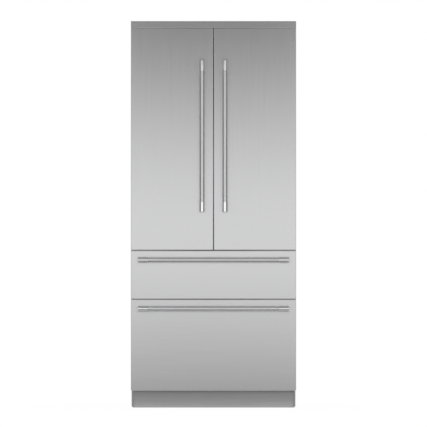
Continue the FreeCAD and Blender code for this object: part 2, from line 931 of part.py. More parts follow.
x_compressor, y_compressor = d.compressor_inset - half, y_back - d.compressor_setback
z_can = d.base_floor + d.can_lift
can = body("compressor_can")
can_r, can_h = d.compressor_radius, d.compressor_height
can_outline = [
    (0, 0),
    (can_r, 0),
    (can_r, can_h - d.can_lid_height),
    (can_r - d.can_lid_step, can_h - d.can_lid_height),
    (can_r - d.can_lid_step, can_h),
    (0, can_h),
]
turn(can, "can_turned", sketch(can, "can_profile", "XZ", 0, can_outline), "Z_Axis")
place(can, x_compressor, y_compressor, z_can)
can_foot = box(
    "can_foot",
    (x_compressor - d.can_foot_width / 2, y_compressor - d.can_foot_depth / 2, z_can - d.can_foot_sheet),
    (x_compressor + d.can_foot_width / 2, y_compressor + d.can_foot_depth / 2, z_can),
)
terminal_x = x_compressor + can_r + d.terminal_gap
terminal_box = box(
    "terminal_box",
    (terminal_x, y_compressor - d.terminal_depth / 2, z_can),
    (terminal_x + d.terminal_width, y_compressor + d.terminal_depth / 2, z_can + d.terminal_height),
)
node("compressor", fuse("compressor_unit", can, can_foot, terminal_box))
grommets = []
for side_x in (-1, 1):
    for side_y in (-1, 1):
        x, y = x_compressor + d.grommet_dx * side_x, y_compressor + d.grommet_dy * side_y
        rubber_height = d.can_lift - d.can_foot_sheet
        rubber_name = f"grommet_{len(grommets)}"
        grommets.append(prism(rubber_name, (x, y, d.base_floor), d.grommet_radius, rubber_height, 8))
node("compressor_grommets", group("grommet_set", *grommets))

blower_centre = (d.blower_offset, y_back - d.shroud_setback, d.base_floor + d.blower_rise)
x_blower, y_shroud, z_blower = blower_centre
shroud_block = box(
    "shroud_block",
    (x_blower - d.shroud_half, y_shroud, d.base_floor),
    (x_blower + d.shroud_half, y_shroud + d.shroud_depth, z_blower + d.shroud_half),
)
shroud_radius = d.blower_radius + d.fan_clearance
shroud_start = (x_blower, y_shroud - over, z_blower)
shroud_hole = cylinder("shroud_hole", shroud_start, shroud_radius, d.shroud_depth + over * 2, "y")
shroud = cut("shroud", shroud_block, shroud_hole)
blower_mount = motor_mount(
    "blower", blower_centre, shroud_radius, d.blower_motor_radius, d.shroud_bar, d.shroud_bar_depth
)
node("condenser_fan_housing", fuse("blower_frame", shroud, *blower_mount))
blower_start = (x_blower, y_shroud + d.motor_depth + d.fan_gap, z_blower)
node("condenser_fan", fan("blower_fan", blower_start, d.blower_radius, d.blower_hub_radius))

x_machine = half - d.machine_inset
drain_pan = tub(
    "pan_tub",
    (x_blower + d.shroud_half + d.pan_gap, y_niche + d.pan_margin, d.base_floor),
    (x_machine, y_back - d.pan_margin, d.base_floor + d.pan_height),
    d.pan_wall,
    None,
    None,
)
node("drain_pan", drain_pan)
x_control, z_control = x_machine - d.control_width, d.control_low
control_case = block_body(
    "control_case",
    (x_control, y_niche, z_control),
    (x_machine, y_niche + d.control_depth, z_control + d.control_height),
    d.control_round,
    runs_along(Y_AXIS),
)
inlet_x, inlet_z = x_control + d.inlet_margin, z_control + d.inlet_rise
inlet = box(
    "inlet",
    (inlet_x, y_niche + d.control_depth - d.inlet_depth, inlet_z),
    (inlet_x + d.inlet_width, y_niche + d.control_depth + over, inlet_z + d.inlet_height),
)
node("control_box", cut("control_box_inlet", control_case, inlet))


# Doors and drawer fronts: a folded steel pan, a foamed inner liner, a gasket and a bar handle


def front_pair(name, low_x, high_x, low_z, high_z):
    """A folded steel pan, and the pieces of the foamed liner that fills it and closes its back."""
    skin = d.front_skin
    back_y = y_front + d.pan_depth
    face_y = y_front.value
    outside = block_body(
        f"{name}_outside",
        (low_x, y_front, low_z),
        (high_x, back_y, high_z),
        d.bend_radius,
        lambda edge: edge.BoundBox.YMax < face_y + 0.01,
    )
    core = block_body(
        f"{name}_core",
        (low_x + skin, y_front + skin, low_z + skin),
        (high_x - skin, back_y, high_z - skin),
        d.bend_radius - skin,
        lambda edge: edge.BoundBox.YMax < face_y + skin.value + 0.01,
    )
    flange_high = (high_x - skin, y_inner, high_z - skin)
    flange = box(f"{name}_flange", (low_x + skin, back_y, low_z + skin), flange_high)
    return cut(f"{name}_pan", outside, core), [core, flange]


def gasket(name, low_x, high_x, low_z, high_z):
    """A magnetic seal round the edge of a front, just clear of the case."""
    owner = body(name)
    near, far = d.gasket_inset, d.gasket_inset + d.gasket_width
    outer = rectangle(low_x + near, low_z + near, high_x - near, high_z - near)
    inner = rectangle(low_x + far, low_z + far, high_x - far, high_z - far)
    drawing = sketch(owner, f"{name}_outline", "XZ", y_inner, outer, inner)
    grow("Pad", owner, f"{name}_pad", drawing, d.seal_gap - d.close_gap, reverse=True)
    return owner


def handle(prefix, along, start_x, start_z):
    """A bar between two cast ends, each a sleeve on a post that stands on the steel front."""
    y_bar = y_front - d.handle_reach + d.ferrule_diameter / 2

    def at(distance):
        if along == "z":
            return (start_x, y_bar, start_z + distance)
        return (start_x + distance, y_bar, start_z)

    sleeve_radius, sleeve_length = d.ferrule_diameter / 2, d.ferrule_length
    bar_length = d.handle_length - sleeve_length * 2
    bar = cylinder(f"{prefix}_rod", at(sleeve_length), d.bar_diameter / 2, bar_length, along)
    node(f"{prefix}_bar", bar)
    post_half = [d.stem_width / 2, d.stem_length / 2]
    half_x, half_z = post_half if along == "z" else reversed(post_half)
    ends = []
    for end, sleeve_at, post_at in (
        ("near", 0, d.stem_setback),
        ("far", d.handle_length - sleeve_length, d.handle_length - d.stem_setback),
    ):
        sleeve = cylinder(f"{prefix}_{end}_sleeve", at(sleeve_at), sleeve_radius, sleeve_length, along)
        post_x, post_y, post_z = at(post_at)
        post = box(
            f"{prefix}_{end}_post",
            (post_x - half_x, post_y, post_z - half_z),
            (post_x + half_x, y_front, post_z + half_z),
        )
        ends.append(fuse(f"{prefix}_{end}_casting", sleeve, post))
    node(f"{prefix}_ends", group(f"{prefix}_end_pair", *ends))


# Left door, which also carries the flip mullion
door_edge = d.door_gap / 2
door_span = (-half, -door_edge, z_door, z_door_top)
left_pan, plain_core = front_pair("left_door", *door_span)
window_half = d.pin_window / 2
pan_windows = []
for end, flange_low in (("low", z_door), ("high", z_door_top - d.front_skin)):
    window_low = (-x_hinge - window_half, y_hinge - window_half, flange_low - over)
    window_high = (window_half - x_hinge, y_hinge + window_half, flange_low + d.front_skin + over)
    pan_windows.append(box(f"pin_window_{end}", window_low, window_high))
node("left_door_panel", cut("left_pan_pierced", left_pan, *pan_windows))

dyke_outer = d.dyke_clear - cavity_half
dyke_inner = -d.dyke_centre
dyke_low = z_fridge + d.dyke_end_clear
dyke_high = z_fridge_top - d.dyke_end_clear
y_dyke = y_inner + d.dyke_depth
dyke_block = box("dyke_block", (dyke_outer, y_inner, dyke_low), (dyke_inner, y_dyke, dyke_high))
bin_left, bin_right = dyke_outer + d.dyke_wall, dyke_inner - d.dyke_wall
dyke_hollow = box(
    "dyke_hollow",
    (bin_left, y_inner, dyke_low + d.dyke_wall),
    (bin_right, y_dyke, dyke_high - d.dyke_wall),
)
dyke = cut("dyke", dyke_block, dyke_hollow)
y_bin = y_inner + d.bin_depth
ledges = []
bins = []
for i in range(3):
    floor = dyke_low + d.dyke_wall + d.bin_first + d.bin_pitch * i
    for side, low_x in (("near", bin_left), ("far", bin_right - d.bin_ledge)):
        ledge_low = (low_x, y_inner, floor - d.bin_ledge_height)
        ledge_high = (low_x + d.bin_ledge, y_dyke - d.bin_ledge_setback, floor)
        ledges.append(box(f"ledge_{side}_{i}", ledge_low, ledge_high))
    bin_low = (bin_left + d.bin_side_gap, y_inner, floor)
    bin_high = (bin_right - d.bin_side_gap, y_bin, floor + d.bin_height)
    bins.append(tub(f"door_bin_{i}", bin_low, bin_high, d.bin_wall, d.bin_corner, upright_at(y_bin)))
node("left_door_bins", group("left_bin_set", *bins))

x_flap, y_flap = -d.flap_pivot, y_case + d.flap_thickness / 2 + d.close_gap
knuckle_radius = d.flap_thickness / 2 - d.knuckle_clear
flap_pin_radius = d.flap_pin_diameter / 2
flap_low = z_fridge + d.flap_bottom_gap + d.knuckle_height
flap_high = z_fridge_top - d.flap_top_gap - d.knuckle_height
flap_slab = box(
    "flap_slab",
    (x_flap - d.flap_thickness / 2, y_flap, flap_low + d.close_gap),
    (x_flap + d.flap_thickness / 2, y_flap + d.flap_reach, flap_high - d.close_gap),
)
flap_barrel = cylinder(
    "flap_barrel",
    (x_flap, y_flap, flap_low + d.close_gap),
    d.flap_thickness / 2,
    flap_high - flap_low - d.close_gap * 2,
)
knuckles = []
flap_bores = []
for end, knuckle_low, pin_low in (
    ("low", flap_low - d.knuckle_height, flap_low),
    ("high", flap_high, flap_high - d.flap_pin_length),
):
    arm_low = (x_flap - knuckle_radius, y_inner, knuckle_low)
    arm_high = (x_flap + knuckle_radius, y_flap + knuckle_radius, knuckle_low + d.knuckle_height)
    pin_foot = (x_flap, y_flap, pin_low)
    bore_foot = (x_flap, y_flap, pin_low - over)
    knuckles += [
        box(f"knuckle_arm_{end}", arm_low, arm_high),
        cylinder(f"knuckle_pin_{end}", pin_foot, flap_pin_radius, d.flap_pin_length),
    ]
    bore_length = d.flap_pin_length + over * 2
    flap_bores.append(cylinder(f"flap_bore_{end}", bore_foot, flap_pin_radius + d.running_fit, bore_length))
node("flip_mullion", cut("flap", fuse("flap_blank", flap_slab, flap_barrel), *flap_bores))

hinge_bore = pin_radius + d.running_fit
hole_depth = d.hinge_pin_length + over
core_holes = [
    cylinder("core_hole_low", (-x_hinge, y_hinge, z_door), hinge_bore, hole_depth),
    cylinder("core_hole_high", (-x_hinge, y_hinge, z_door_top - hole_depth), hinge_bore, hole_depth),
]
door_core = fuse("left_liner_plain", *plain_core, dyke, *ledges)
door_liner = cut("left_liner_drilled", door_core, *core_holes)
node("right_door_liner", mirrored("right_liner", door_liner))
node("left_door_liner", fuse("left_liner", door_liner, *knuckles))
node("left_door_gasket", gasket("left_seal", *door_span))
handle("left_handle", "z", -d.handle_offset, z_door + d.door_handle_bottom)

# Right door: the mirror image without the flip mullion
for piece in ("door_panel", "door_bins", "door_gasket", "handle_bar", "handle_ends"):
    node(f"right_{piece}", mirrored(f"right_{piece}_copy", nodes[f"left_{piece}"]))

# Drawers on three-part slides


def slide_member(name, near, far, height, low_y, high_y, mouth):
    """A bent channel beside the left wall. near and far are its distances from the wall.

    mouth is 1 when the channel opens away from the wall and -1 when it opens to the wall.
    """
    sheet_x = d.slide_sheet
    outside_high = (far - inner_half, high_y, height / 2)
    outside = box(f"{name}_outside", (near - inner_half, low_y, -height / 2), outside_high)
    if mouth > 0:
        low_x, high_x = near + sheet_x, far + over
    else:
        low_x, high_x = near - over, far - sheet_x
    inside = box(
        f"{name}_inside",
        (low_x - inner_half, low_y - over, d.slide_sheet - height / 2),
        (high_x - inner_half, high_y + over, height / 2 - d.slide_sheet),
    )
    return cut(name, outside, inside)


middle_height = d.slide_height - d.slide_sheet * 2 - d.slide_play * 2
runner_height = middle_height - d.slide_sheet * 2 - d.slide_play * 2
middle_near = d.slide_sheet + d.slide_play
middle_far = d.channel_depth - d.slide_sheet
runner_near = middle_near + d.slide_sheet + d.slide_play
y_slide = y_case + d.slide_start
y_slide_end = y_slide + d.slide_length
bin_half = inner_half - d.runner_depth


def pair(name, left):
    return group(f"{name}_pair", left, mirrored(f"{name}_right", left))


def slides(prefix, height):
    """The channel, middle member and runner of one drawer at a height, left and right."""
    channel = slide_member(
        f"{prefix}_channel", as_size(0), d.channel_depth, d.slide_height, y_slide, y_slide_end, 1
    )
    start, end = y_slide + d.middle_start, y_slide_end - d.middle_end
    middle = slide_member(f"{prefix}_middle", middle_near, middle_far, middle_height, start, end, 1)
    end = y_slide_end - d.runner_end
    bar = slide_member(f"{prefix}_runner_bar", runner_near, d.runner_depth, runner_height, y_inner, end, -1)
    foot = box(
        f"{prefix}_runner_foot",
        (runner_near - inner_half, y_inner, -d.runner_foot_height / 2),
        (d.runner_depth - inner_half, y_inner + d.runner_foot, d.runner_foot_height / 2),
    )
    runner = fuse(f"{prefix}_runner", bar, foot)
    pairs = []
    for part_name, left in (("channel", channel), ("middle", middle), ("runner", runner)):
        both = pair(f"{prefix}_{part_name}", left)
        pairs.append(place(both, 0, 0, height))
    channels, middles, runners = pairs
    node(f"{prefix}_slide_middles", middles)
    node(f"{prefix}_drawer_runners", runners)
    return channels


def drawer_front(prefix, low_z, high_z):
    span = (-half, half, low_z, high_z)
    pan, core = front_pair(f"{prefix}_drawer", *span)
    node(f"{prefix}_drawer_panel", pan)
    node(f"{prefix}_drawer_liner", fuse(f"{prefix}_liner", *core))
    node(f"{prefix}_drawer_gasket", gasket(f"{prefix}_seal", *span))
    handle(f"{prefix}_handle", "x", -d.handle_length / 2, high_z - d.drawer_handle_drop)


drawer_front("upper", z_upper, z_upper_top)
drawer_front("lower", z_lower, z_lower_top)
upper_floor = rail_high + d.upper_bin_gap
lower_rim = rail_low - d.lower_rim_gap
all_channels = [
    slides("upper", upper_floor + d.upper_slide_rise),
    slides("lower", lower_rim - d.lower_slide_drop),
]
node("slide_channels", group("channel_set", *all_channels))

y_duct = y_liner - d.duct_depth
bin_rear = y_duct - d.drawer_bin_rear
upper_bin = tub(
    "upper_bin",
    (-bin_half, y_inner, upper_floor),
    (bin_half, bin_rear, upper_floor + d.upper_bin_height),
    d.drawer_bin_wall,
    d.bin_corner,
    upright_at(bin_rear),
)
node("upper_drawer_bin", upper_bin)
lower_bin = body("lower_bin")
bin_floor = lower_rim - d.lower_bin_height
bin_step_y = y_step - d.liner_wall - d.bin_step_gap
bin_step_z = z_step + d.liner_wall + d.bin_step_lift
lower_profile = [
    (y_inner, bin_floor),
    (bin_step_y, bin_floor),
    (bin_step_y, bin_step_z),
    (bin_rear, bin_step_z),
    (bin_rear, lower_rim),
    (y_inner, lower_rim),
]
lower_drawing = sketch(lower_bin, "lower_bin_profile", "YZ", -bin_half, lower_profile)
lower_pad = grow("Pad", lower_bin, "lower_bin_pad", lower_drawing, bin_half * 2)
rim_z = lower_rim.value
hollow(
    lower_bin, "lower_bin_shell", lower_pad, d.drawer_bin_wall, lambda face: face.BoundBox.ZMin > rim_z - 0.01
)
node("lower_drawer_bin", lower_bin)

# Fridge inside: air duct, tracks, glass shelves, crispers and controls


def duct_cover(name, low_z, high_z, fan_z):
    """A shallow tray over an evaporator, with return slots and a fan opening that holds its motor."""
    half_width, sheet_in = d.duct_half_width, d.cover_sheet
    outside = box(f"{name}_outside", (-half_width, y_duct, low_z), (half_width, y_liner, high_z))
    inside = box(
        f"{name}_inside",
        (sheet_in - half_width, y_duct + sheet_in, low_z + sheet_in),
        (half_width - sheet_in, y_liner + over, high_z - sheet_in),
    )
    opening_radius = d.fan_radius + d.fan_clearance
    opening = cylinder(f"{name}_opening", (0, y_duct - over, fan_z), opening_radius, sheet_in + over * 2, "y")
    slot_half = half_width - d.slot_side
    slots = []
    for i in range(3):
        slot_z = low_z + d.slot_margin + d.slot_pitch * i
        slot_low = (-slot_half, y_duct - over, slot_z)
        slot_high = (slot_half, y_duct + sheet_in + over, slot_z + d.slot_height)
        slots.append(box(f"{name}_slot_{i}", slot_low, slot_high))
    tray = cut(f"{name}_tray", outside, inside, opening, *slots)
    fan_centre = (as_size(0), y_duct, fan_z)
    mount = motor_mount(name, fan_centre, opening_radius, d.motor_radius, d.motor_bar, sheet_in)
    return fuse(f"{name}_unit", tray, *mount)


def evaporator(name, low_z, high_z):
    """A roll-bonded plate with a raised channel, flat on the rear wall of a liner."""
    plate_half = d.duct_half_width - d.coil_side
    channel_half = plate_half - d.coil_edge
    plate_y = y_liner - d.coil_plate
    plate = box(f"{name}_plate", (-plate_half, plate_y, low_z), (plate_half, y_liner, high_z))
    channel_low = (-channel_half, plate_y - d.coil_rise, low_z + d.coil_edge)
    channel = serpentine(name, channel_low, (channel_half, plate_y, high_z - d.coil_edge), 6, 2)
    return fuse(f"{name}_panel", plate, *channel)


fridge_duct_low, fridge_duct_high = z_fridge + d.duct_bottom, z_fridge_top - d.duct_top
fridge_fan_z = fridge_duct_high - d.fridge_fan_drop
freezer_duct_low = z_step + d.liner_wall + d.freezer_duct_bottom
freezer_duct_high = z_freezer_top - d.freezer_duct_top
freezer_fan_z = freezer_duct_high - d.freezer_fan_drop
duct_covers = [
    duct_cover("fridge_duct", fridge_duct_low, fridge_duct_high, fridge_fan_z),
    duct_cover("freezer_duct", freezer_duct_low, freezer_duct_high, freezer_fan_z),
]
node("duct_covers", group("duct_cover_set", *duct_covers))
y_fan = y_duct + d.motor_depth + d.fan_gap
for name, fan_z in (("fridge_fan", fridge_fan_z), ("freezer_fan", freezer_fan_z)):
    node(name, fan(f"{name}_wheel", (as_size(0), y_fan, fan_z), d.fan_radius, d.fan_hub_radius))
evaporators = [
    evaporator("fridge_coil", fridge_duct_low + d.fridge_coil_bottom, fridge_fan_z - d.fridge_coil_top),
    evaporator("freezer_coil", freezer_duct_low + d.freezer_coil_bottom, freezer_fan_z - d.freezer_coil_top),
]
node("evaporator_coils", group("evaporator_pair", *evaporators))

y_track = y_duct - d.track_depth
track_xs = [-d.track_outer, -d.track_inner, d.track_inner, d.track_outer]
tracks = []
for i, track_x in enumerate(track_xs):
    track_low = (track_x - d.track_width / 2, y_track, fridge_duct_low + d.track_bottom)
    track_high = (track_x + d.track_width / 2, y_duct, fridge_duct_high - d.track_top)
    tracks.append(box(f"track_{i}", track_low, track_high))
node("shelf_tracks", group("track_set", *tracks))

y_shelf = y_case + d.shelf_front
shelf_width = inner_half - d.shelf_side_gap


def shelf(name, low_x, track_pair, height):
    """Two tapered brackets hooked on a pair of tracks, joined by a bar at the front and the rear."""
    high_x = low_x + shelf_width
    arms = []
    for i, track_x in enumerate(track_pair):
        arm = body(f"{name}_arm_{i}")
        profile = [
            (y_shelf, height - d.bracket_front),
            (y_shelf, height),
            (y_track, height),
            (y_track, height - d.bracket_rear),
        ]
        drawing = sketch(arm, f"{name}_arm_profile_{i}", "YZ", track_x - d.bracket_sheet / 2, profile)
        grow("Pad", arm, f"{name}_arm_pad_{i}", drawing, d.bracket_sheet)
        arms.append(arm)
    bars = []
    for end, bar_y in (("front", y_shelf), ("rear", y_track - d.shelf_bar_gap - d.shelf_bar_depth)):
        bar_low = (low_x, bar_y, height - d.shelf_bar_height)
        bars.append(box(f"{name}_{end}_bar", bar_low, (high_x, bar_y + d.shelf_bar_depth, height)))
    frame = fuse(f"{name}_frame", *arms, *bars)
    glass_high = (high_x, y_track - d.glass_rear_gap, height + d.glass)
    plate = box(f"{name}_glass", (low_x, y_shelf, height), glass_high)
    return frame, plate


frames, plates = [], []
for i in range(3):
    level = z_fridge + d.shelf_first + d.shelf_pitch * i
    for side, low_x, track_pair, height in (
        ("left", d.shelf_side_gap / 2 - inner_half, track_xs[:2], level),
        ("right", d.shelf_side_gap / 2, track_xs[2:], level + d.shelf_stagger),
    ):
        frame, plate = shelf(f"{side}_shelf_{i}", low_x, track_pair, height)
        frames.append(frame)
        plates.append(plate)

z_crisper = z_fridge + d.liner_wall
z_lid = z_crisper + d.crisper_height + d.crisper_gap
z_lid_top = z_lid + d.lid_height
lid_rear = y_track - d.lid_rear_gap
lid_block = box("lid_block", (-inner_half, y_shelf, z_lid), (inner_half, lid_rear, z_lid_top))
lid_hole = box(
    "lid_hole",
    (d.lid_rim - inner_half, y_shelf + d.lid_rim, z_lid - over),
    (inner_half - d.lid_rim, lid_rear - d.lid_rim, z_lid_top + over),
)
lid_post = box("lid_post", (-d.lid_post / 2, y_shelf, z_crisper), (d.lid_post / 2, lid_rear, z_lid_top))
frames.append(fuse("lid_frame", cut("lid_ring", lid_block, lid_hole), lid_post))
lid_glass = box(
    "lid_glass",
    (d.lid_lip - inner_half, y_shelf + d.lid_lip, z_lid_top),
    (inner_half - d.lid_lip, lid_rear - d.lid_lip, z_lid_top + d.glass),
)
plates.append(lid_glass)
node("shelf_frames", group("frame_set", *frames))
node("shelf_glass", group("glass_set", *plates))

y_crisper = y_shelf + d.crisper_front
left_crisper = tub(
    "left_crisper",
    (d.liner_radius - inner_half, y_crisper, z_crisper),
    (-d.lid_post / 2 - d.crisper_gap, lid_rear, z_crisper + d.crisper_height),
    d.crisper_wall,
    d.bin_corner,
    upright_at(y_crisper),
)
node("crisper_drawers", pair("crisper", left_crisper))

z_ceiling = z_fridge_top - d.liner_wall
control_panel = block_body(
    "control_housing",
    (-d.panel_width / 2, y_case + d.panel_start, z_ceiling - d.panel_height),
    (d.panel_width / 2, y_case + d.panel_start + d.panel_depth, z_ceiling),
    d.panel_round,
    lambda edge: runs_along(X_AXIS)(edge) and edge.BoundBox.ZMax < z_ceiling.value - 1,
)
node("control_panel", control_panel)

# Every object has to be sound before any file is written
doc.recompute()
for thing in doc.Objects:
    if "Invalid" in thing.State or "Error" in thing.State:
        raise RuntimeError(f"{thing.Name} did not build: {thing.State}")
for name, piece in nodes.items():
    if piece.Shape.isNull() or not piece.Shape.isValid():
        raise RuntimeError(f"{name} is not a valid shape")

os.makedirs("parts", exist_ok=True)
for name, piece in nodes.items():
    piece.Shape.exportStep(f"parts/{name}.step")
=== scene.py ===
# %% [markdown]
# # A built-in french door refrigerator
# This lesson dresses a finished CAD model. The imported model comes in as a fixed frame: every steel front,
# handle, shelf and slide is already at its real place and size, in metres. What is left for us is the
# finishes, the small fittings that are too fine for the CAD model, the light and the camera.

import bmesh
import bpy
import numpy as np
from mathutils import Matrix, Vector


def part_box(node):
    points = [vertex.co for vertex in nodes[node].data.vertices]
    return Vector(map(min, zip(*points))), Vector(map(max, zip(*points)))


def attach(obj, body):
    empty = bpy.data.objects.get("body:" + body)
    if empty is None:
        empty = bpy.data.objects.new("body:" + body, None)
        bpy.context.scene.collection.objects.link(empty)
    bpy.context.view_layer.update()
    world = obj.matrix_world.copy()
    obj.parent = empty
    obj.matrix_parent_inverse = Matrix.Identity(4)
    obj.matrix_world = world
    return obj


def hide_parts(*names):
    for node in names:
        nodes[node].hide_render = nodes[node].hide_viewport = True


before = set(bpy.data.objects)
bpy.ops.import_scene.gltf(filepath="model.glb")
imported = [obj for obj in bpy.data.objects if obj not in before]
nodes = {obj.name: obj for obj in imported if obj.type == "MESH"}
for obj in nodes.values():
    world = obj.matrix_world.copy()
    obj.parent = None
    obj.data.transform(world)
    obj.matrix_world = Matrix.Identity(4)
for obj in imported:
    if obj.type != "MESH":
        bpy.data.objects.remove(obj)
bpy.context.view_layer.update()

# %% [markdown]
# ## Colour and nodes
# Colours are written as the sRGB hex values that a designer would pick, and Blender's shaders want linear
# light, so one function converts. A second small function adds a node, sets its values and makes its links,
# which keeps each material down to a few readable lines.


# %% Colour
def linear(hex_colour):
    """sRGB hex to linear RGBA: c / 12.92 in the dark, ((c + 0.055) / 1.055) ** 2.4 above."""
    code = np.array([int(hex_colour[i : i + 2], 16) for i in (1, 3, 5)]) / 255
    light = np.where(code <= 0.04045, code / 12.92, ((code + 0.055) / 1.055) ** 2.4)
    return (*light.tolist(), 1.0)


print("mid grey #808080 in linear light:", round(linear("#808080")[0], 3))


# %% Nodes
def add(tree, kind, inputs=None, **values):
    """Adds one node. Values set its properties or named sockets. Inputs, by name or number, are linked to
    another node's output, or set where a plain number is given.
    """
    made = tree.nodes.new(kind)
    for name, value in values.items():
        if hasattr(made, name):
            setattr(made, name, value)
        else:
            made.inputs[name.replace("_", " ")].default_value = value
    for name, source in (inputs or {}).items():
        if isinstance(source, bpy.types.NodeSocket):
            tree.links.new(source, made.inputs[name])
        else:
            made.inputs[name].default_value = float(source)
    return made


def empty_material(name):
    """A new material and its node tree, with nothing in it yet."""
    material = bpy.data.materials.new(name)
    material.use_nodes = True
    material.node_tree.nodes.clear()
    return material, material.node_tree


# %% [markdown]
# ## One recipe for a finish
# Real surfaces are never one flat colour. Brush marks, moulding ripple and paint skin all vary a little,
# and tone, gloss and relief vary together, because they come from the same marks. So every finish here
# starts from one noise, stretched to the size of the real marks, and that noise drives the colour, the
# roughness and a bump. Each finish below gives two tones, the range of its roughness, the size of its marks
# in millimetres along X, Y and Z, and the strength of its bump.

# %% A finish from one noise
MM = 0.001
NOISE_FROM, NOISE_TO = 0.3, 0.7
BUMP_DEPTH = 0.3 * MM


def stretched_noise(tree, size_mm, detail):
    """Noise on Object coordinates, whose features have the given sizes in mm on X, Y and Z."""
    place = add(tree, "ShaderNodeTexCoord")
    scale = [1 / (size * MM) for size in size_mm]
    mapped = add(tree, "ShaderNodeMapping", {"Vector": place.outputs["Object"]}, Scale=scale)
    noise = add(tree, "ShaderNodeTexNoise", {"Vector": mapped.outputs["Vector"]}, Scale=1.0, Detail=detail)
    return noise.outputs[0]


def finish(name, colours, roughness, size_mm, bump=0.03, detail=2.0, **shader_values):
    """A Principled material whose tone, roughness and bump follow one stretched noise.

    colours and roughness are pairs, for the low and the high end of the noise. Other values go to the
    shader's sockets as they are.
    """
    material, tree = empty_material(name)
    grain = stretched_noise(tree, size_mm, detail)
    contrast = add(tree, "ShaderNodeMapRange", {"Value": grain}, From_Min=NOISE_FROM, From_Max=NOISE_TO)
    share = contrast.outputs["Result"]
    tone = add(tree, "ShaderNodeValToRGB", {"Fac": share})
    for stop, colour in zip(tone.color_ramp.elements, colours):
        stop.color = linear(colour)
    rough = add(tree, "ShaderNodeMapRange", {"Value": share}, To_Min=roughness[0], To_Max=roughness[1])
    relief = add(tree, "ShaderNodeBump", {"Height": grain}, Strength=bump, Distance=BUMP_DEPTH)
    links = {
        "Base Color": tone.outputs["Color"],
        "Roughness": rough.outputs["Result"],
        "Normal": relief.outputs["Normal"],
    }
    shader = add(tree, "ShaderNodeBsdfPrincipled", links, **shader_values)
    add(tree, "ShaderNodeOutputMaterial", {"Surface": shader.outputs["BSDF"]})
    return material


def dress(material, *names):
    """Gives CAD nodes a finish."""
    for name in names:
        mesh = nodes[name].data
        mesh.materials.clear()
        mesh.materials.append(material)
    print(material.name, "on", ", ".join(names))


# %% [markdown]
# ## Brushed stainless steel
# The fronts are sheet steel with a directional brushed finish: fine parallel scratches from an abrasive
# belt. Up close they are streaks a fraction of a millimetre wide and many centimetres long. From across a
# room they only soften the reflection, so the material is a plain metal whose roughness and tone wander
# along stretched noise. The streaks here are drawn 2.5 mm wide, wider than real, so that they can show, and
# kept faint. Doors and upright bars are brushed upwards, drawers and level bars from side to side.

# %% Stainless finishes
GRAIN_WIDTH, GRAIN_LENGTH = 2.5, 260.0
UPRIGHT = (GRAIN_WIDTH, GRAIN_WIDTH, GRAIN_LENGTH)
LEVEL = (GRAIN_LENGTH, GRAIN_WIDTH, GRAIN_WIDTH)
SHEET_TONES, SHEET_ROUGH = ("#CECECF", "#D2D2D3"), (0.23, 0.27)
# The level bars' tones are paler than the upright bars': painted light on the same steel, which makes up for
# the dimmer light that level bars mirror.
BAR_TONES, LEVEL_PAINTED_LIGHT_TONES, BAR_ROUGH = ("#D8D8D9", "#DCDCDD"), ("#E0E0E1", "#E4E4E5"), (0.36, 0.41)
# The kick plate's darker tones are painted shade: the shade of its recess under the drawers, put into the
# steel.
KICK_PAINTED_SHADE_TONES, KICK_ROUGH = ("#A9A9AA", "#AFAFB0"), (0.3, 0.36)
FAINT = 0.01
door_steel = finish("stainless_sheet_upright", SHEET_TONES, SHEET_ROUGH, UPRIGHT, FAINT, Metallic=1.0)
drawer_steel = finish("stainless_sheet_level", SHEET_TONES, SHEET_ROUGH, LEVEL, FAINT, Metallic=1.0)
upright_bar = finish("stainless_bar_upright", BAR_TONES, BAR_ROUGH, UPRIGHT, FAINT, Metallic=1.0)
level_bar_painted_light = finish("stainless_bar_level_painted_light", LEVEL_PAINTED_LIGHT_TONES, BAR_ROUGH, LEVEL, FAINT, Metallic=1.0)
kick_steel_painted_shade = finish("stainless_kick_level_painted_shade", KICK_PAINTED_SHADE_TONES, KICK_ROUGH, LEVEL, FAINT, Metallic=1.0)
dress(door_steel, "left_door_panel", "right_door_panel")
dress(drawer_steel, "upper_drawer_panel", "lower_drawer_panel", "header_trim")
dress(upright_bar, "left_handle_bar", "right_handle_bar")
dress(level_bar_painted_light, "upper_handle_bar", "lower_handle_bar")
dress(kick_steel_painted_shade, "kick_plate")

# %% [markdown]
# ## Polished and plated metals
# The cast ends of the handles are chromed: a mirror with hardly any roughness, where a trace of polishing
# haze keeps it from looking like glass. Slides, tracks and brackets are zinc plated, a paler, mottled grey
# whose crystals are a few millimetres across. The evaporators and the condenser are bare rolled aluminium,
# and the refrigerant pipes are drawn copper, darkened in patches by handling and heat.

# %% Plated metals
chrome = finish("chrome_plate", ("#ECECED", "#F2F2F3"), (0.06, 0.1), (9, 9, 9), 0.01, Metallic=1.0)
zinc = finish("zinc_plated_steel", ("#9FA2A5", "#B4B7BA"), (0.34, 0.48), (4, 4, 4), 0.05, 3.0, Metallic=1.0)
aluminium = finish("rolled_aluminium", ("#B9BBBD", "#CBCDCF"), (0.3, 0.42), (60, 6, 6), 0.05, Metallic=1.0)
copper = finish("drawn_copper", ("#9A5B3C", "#C98059"), (0.26, 0.4), (12, 12, 30), 0.05, 3.0, Metallic=1.0)
dress(chrome, "left_handle_ends", "right_handle_ends", "upper_handle_ends", "lower_handle_ends")
dress(zinc, "back_panel", "base_frame", "wall_bracket", "hinge_plates", "levelling_feet", "shelf_tracks")
dress(zinc, "slide_channels", "upper_slide_middles", "lower_slide_middles")
dress(zinc, "upper_drawer_runners", "lower_drawer_runners")
dress(aluminium, "evaporator_coils", "condenser_coil")

# %% [markdown]
# ## Paints, plastics and rubber
# Most of the rest is moulded or painted, so it has a base colour, a soft gloss and a skin that is never
# quite smooth: powder paint has an orange-peel dimple of about 1.5 mm, vacuum-formed liners ripple over
# centimetres, moulded black parts carry a fine spark-eroded grain, and rigid foam shows its cut cells.

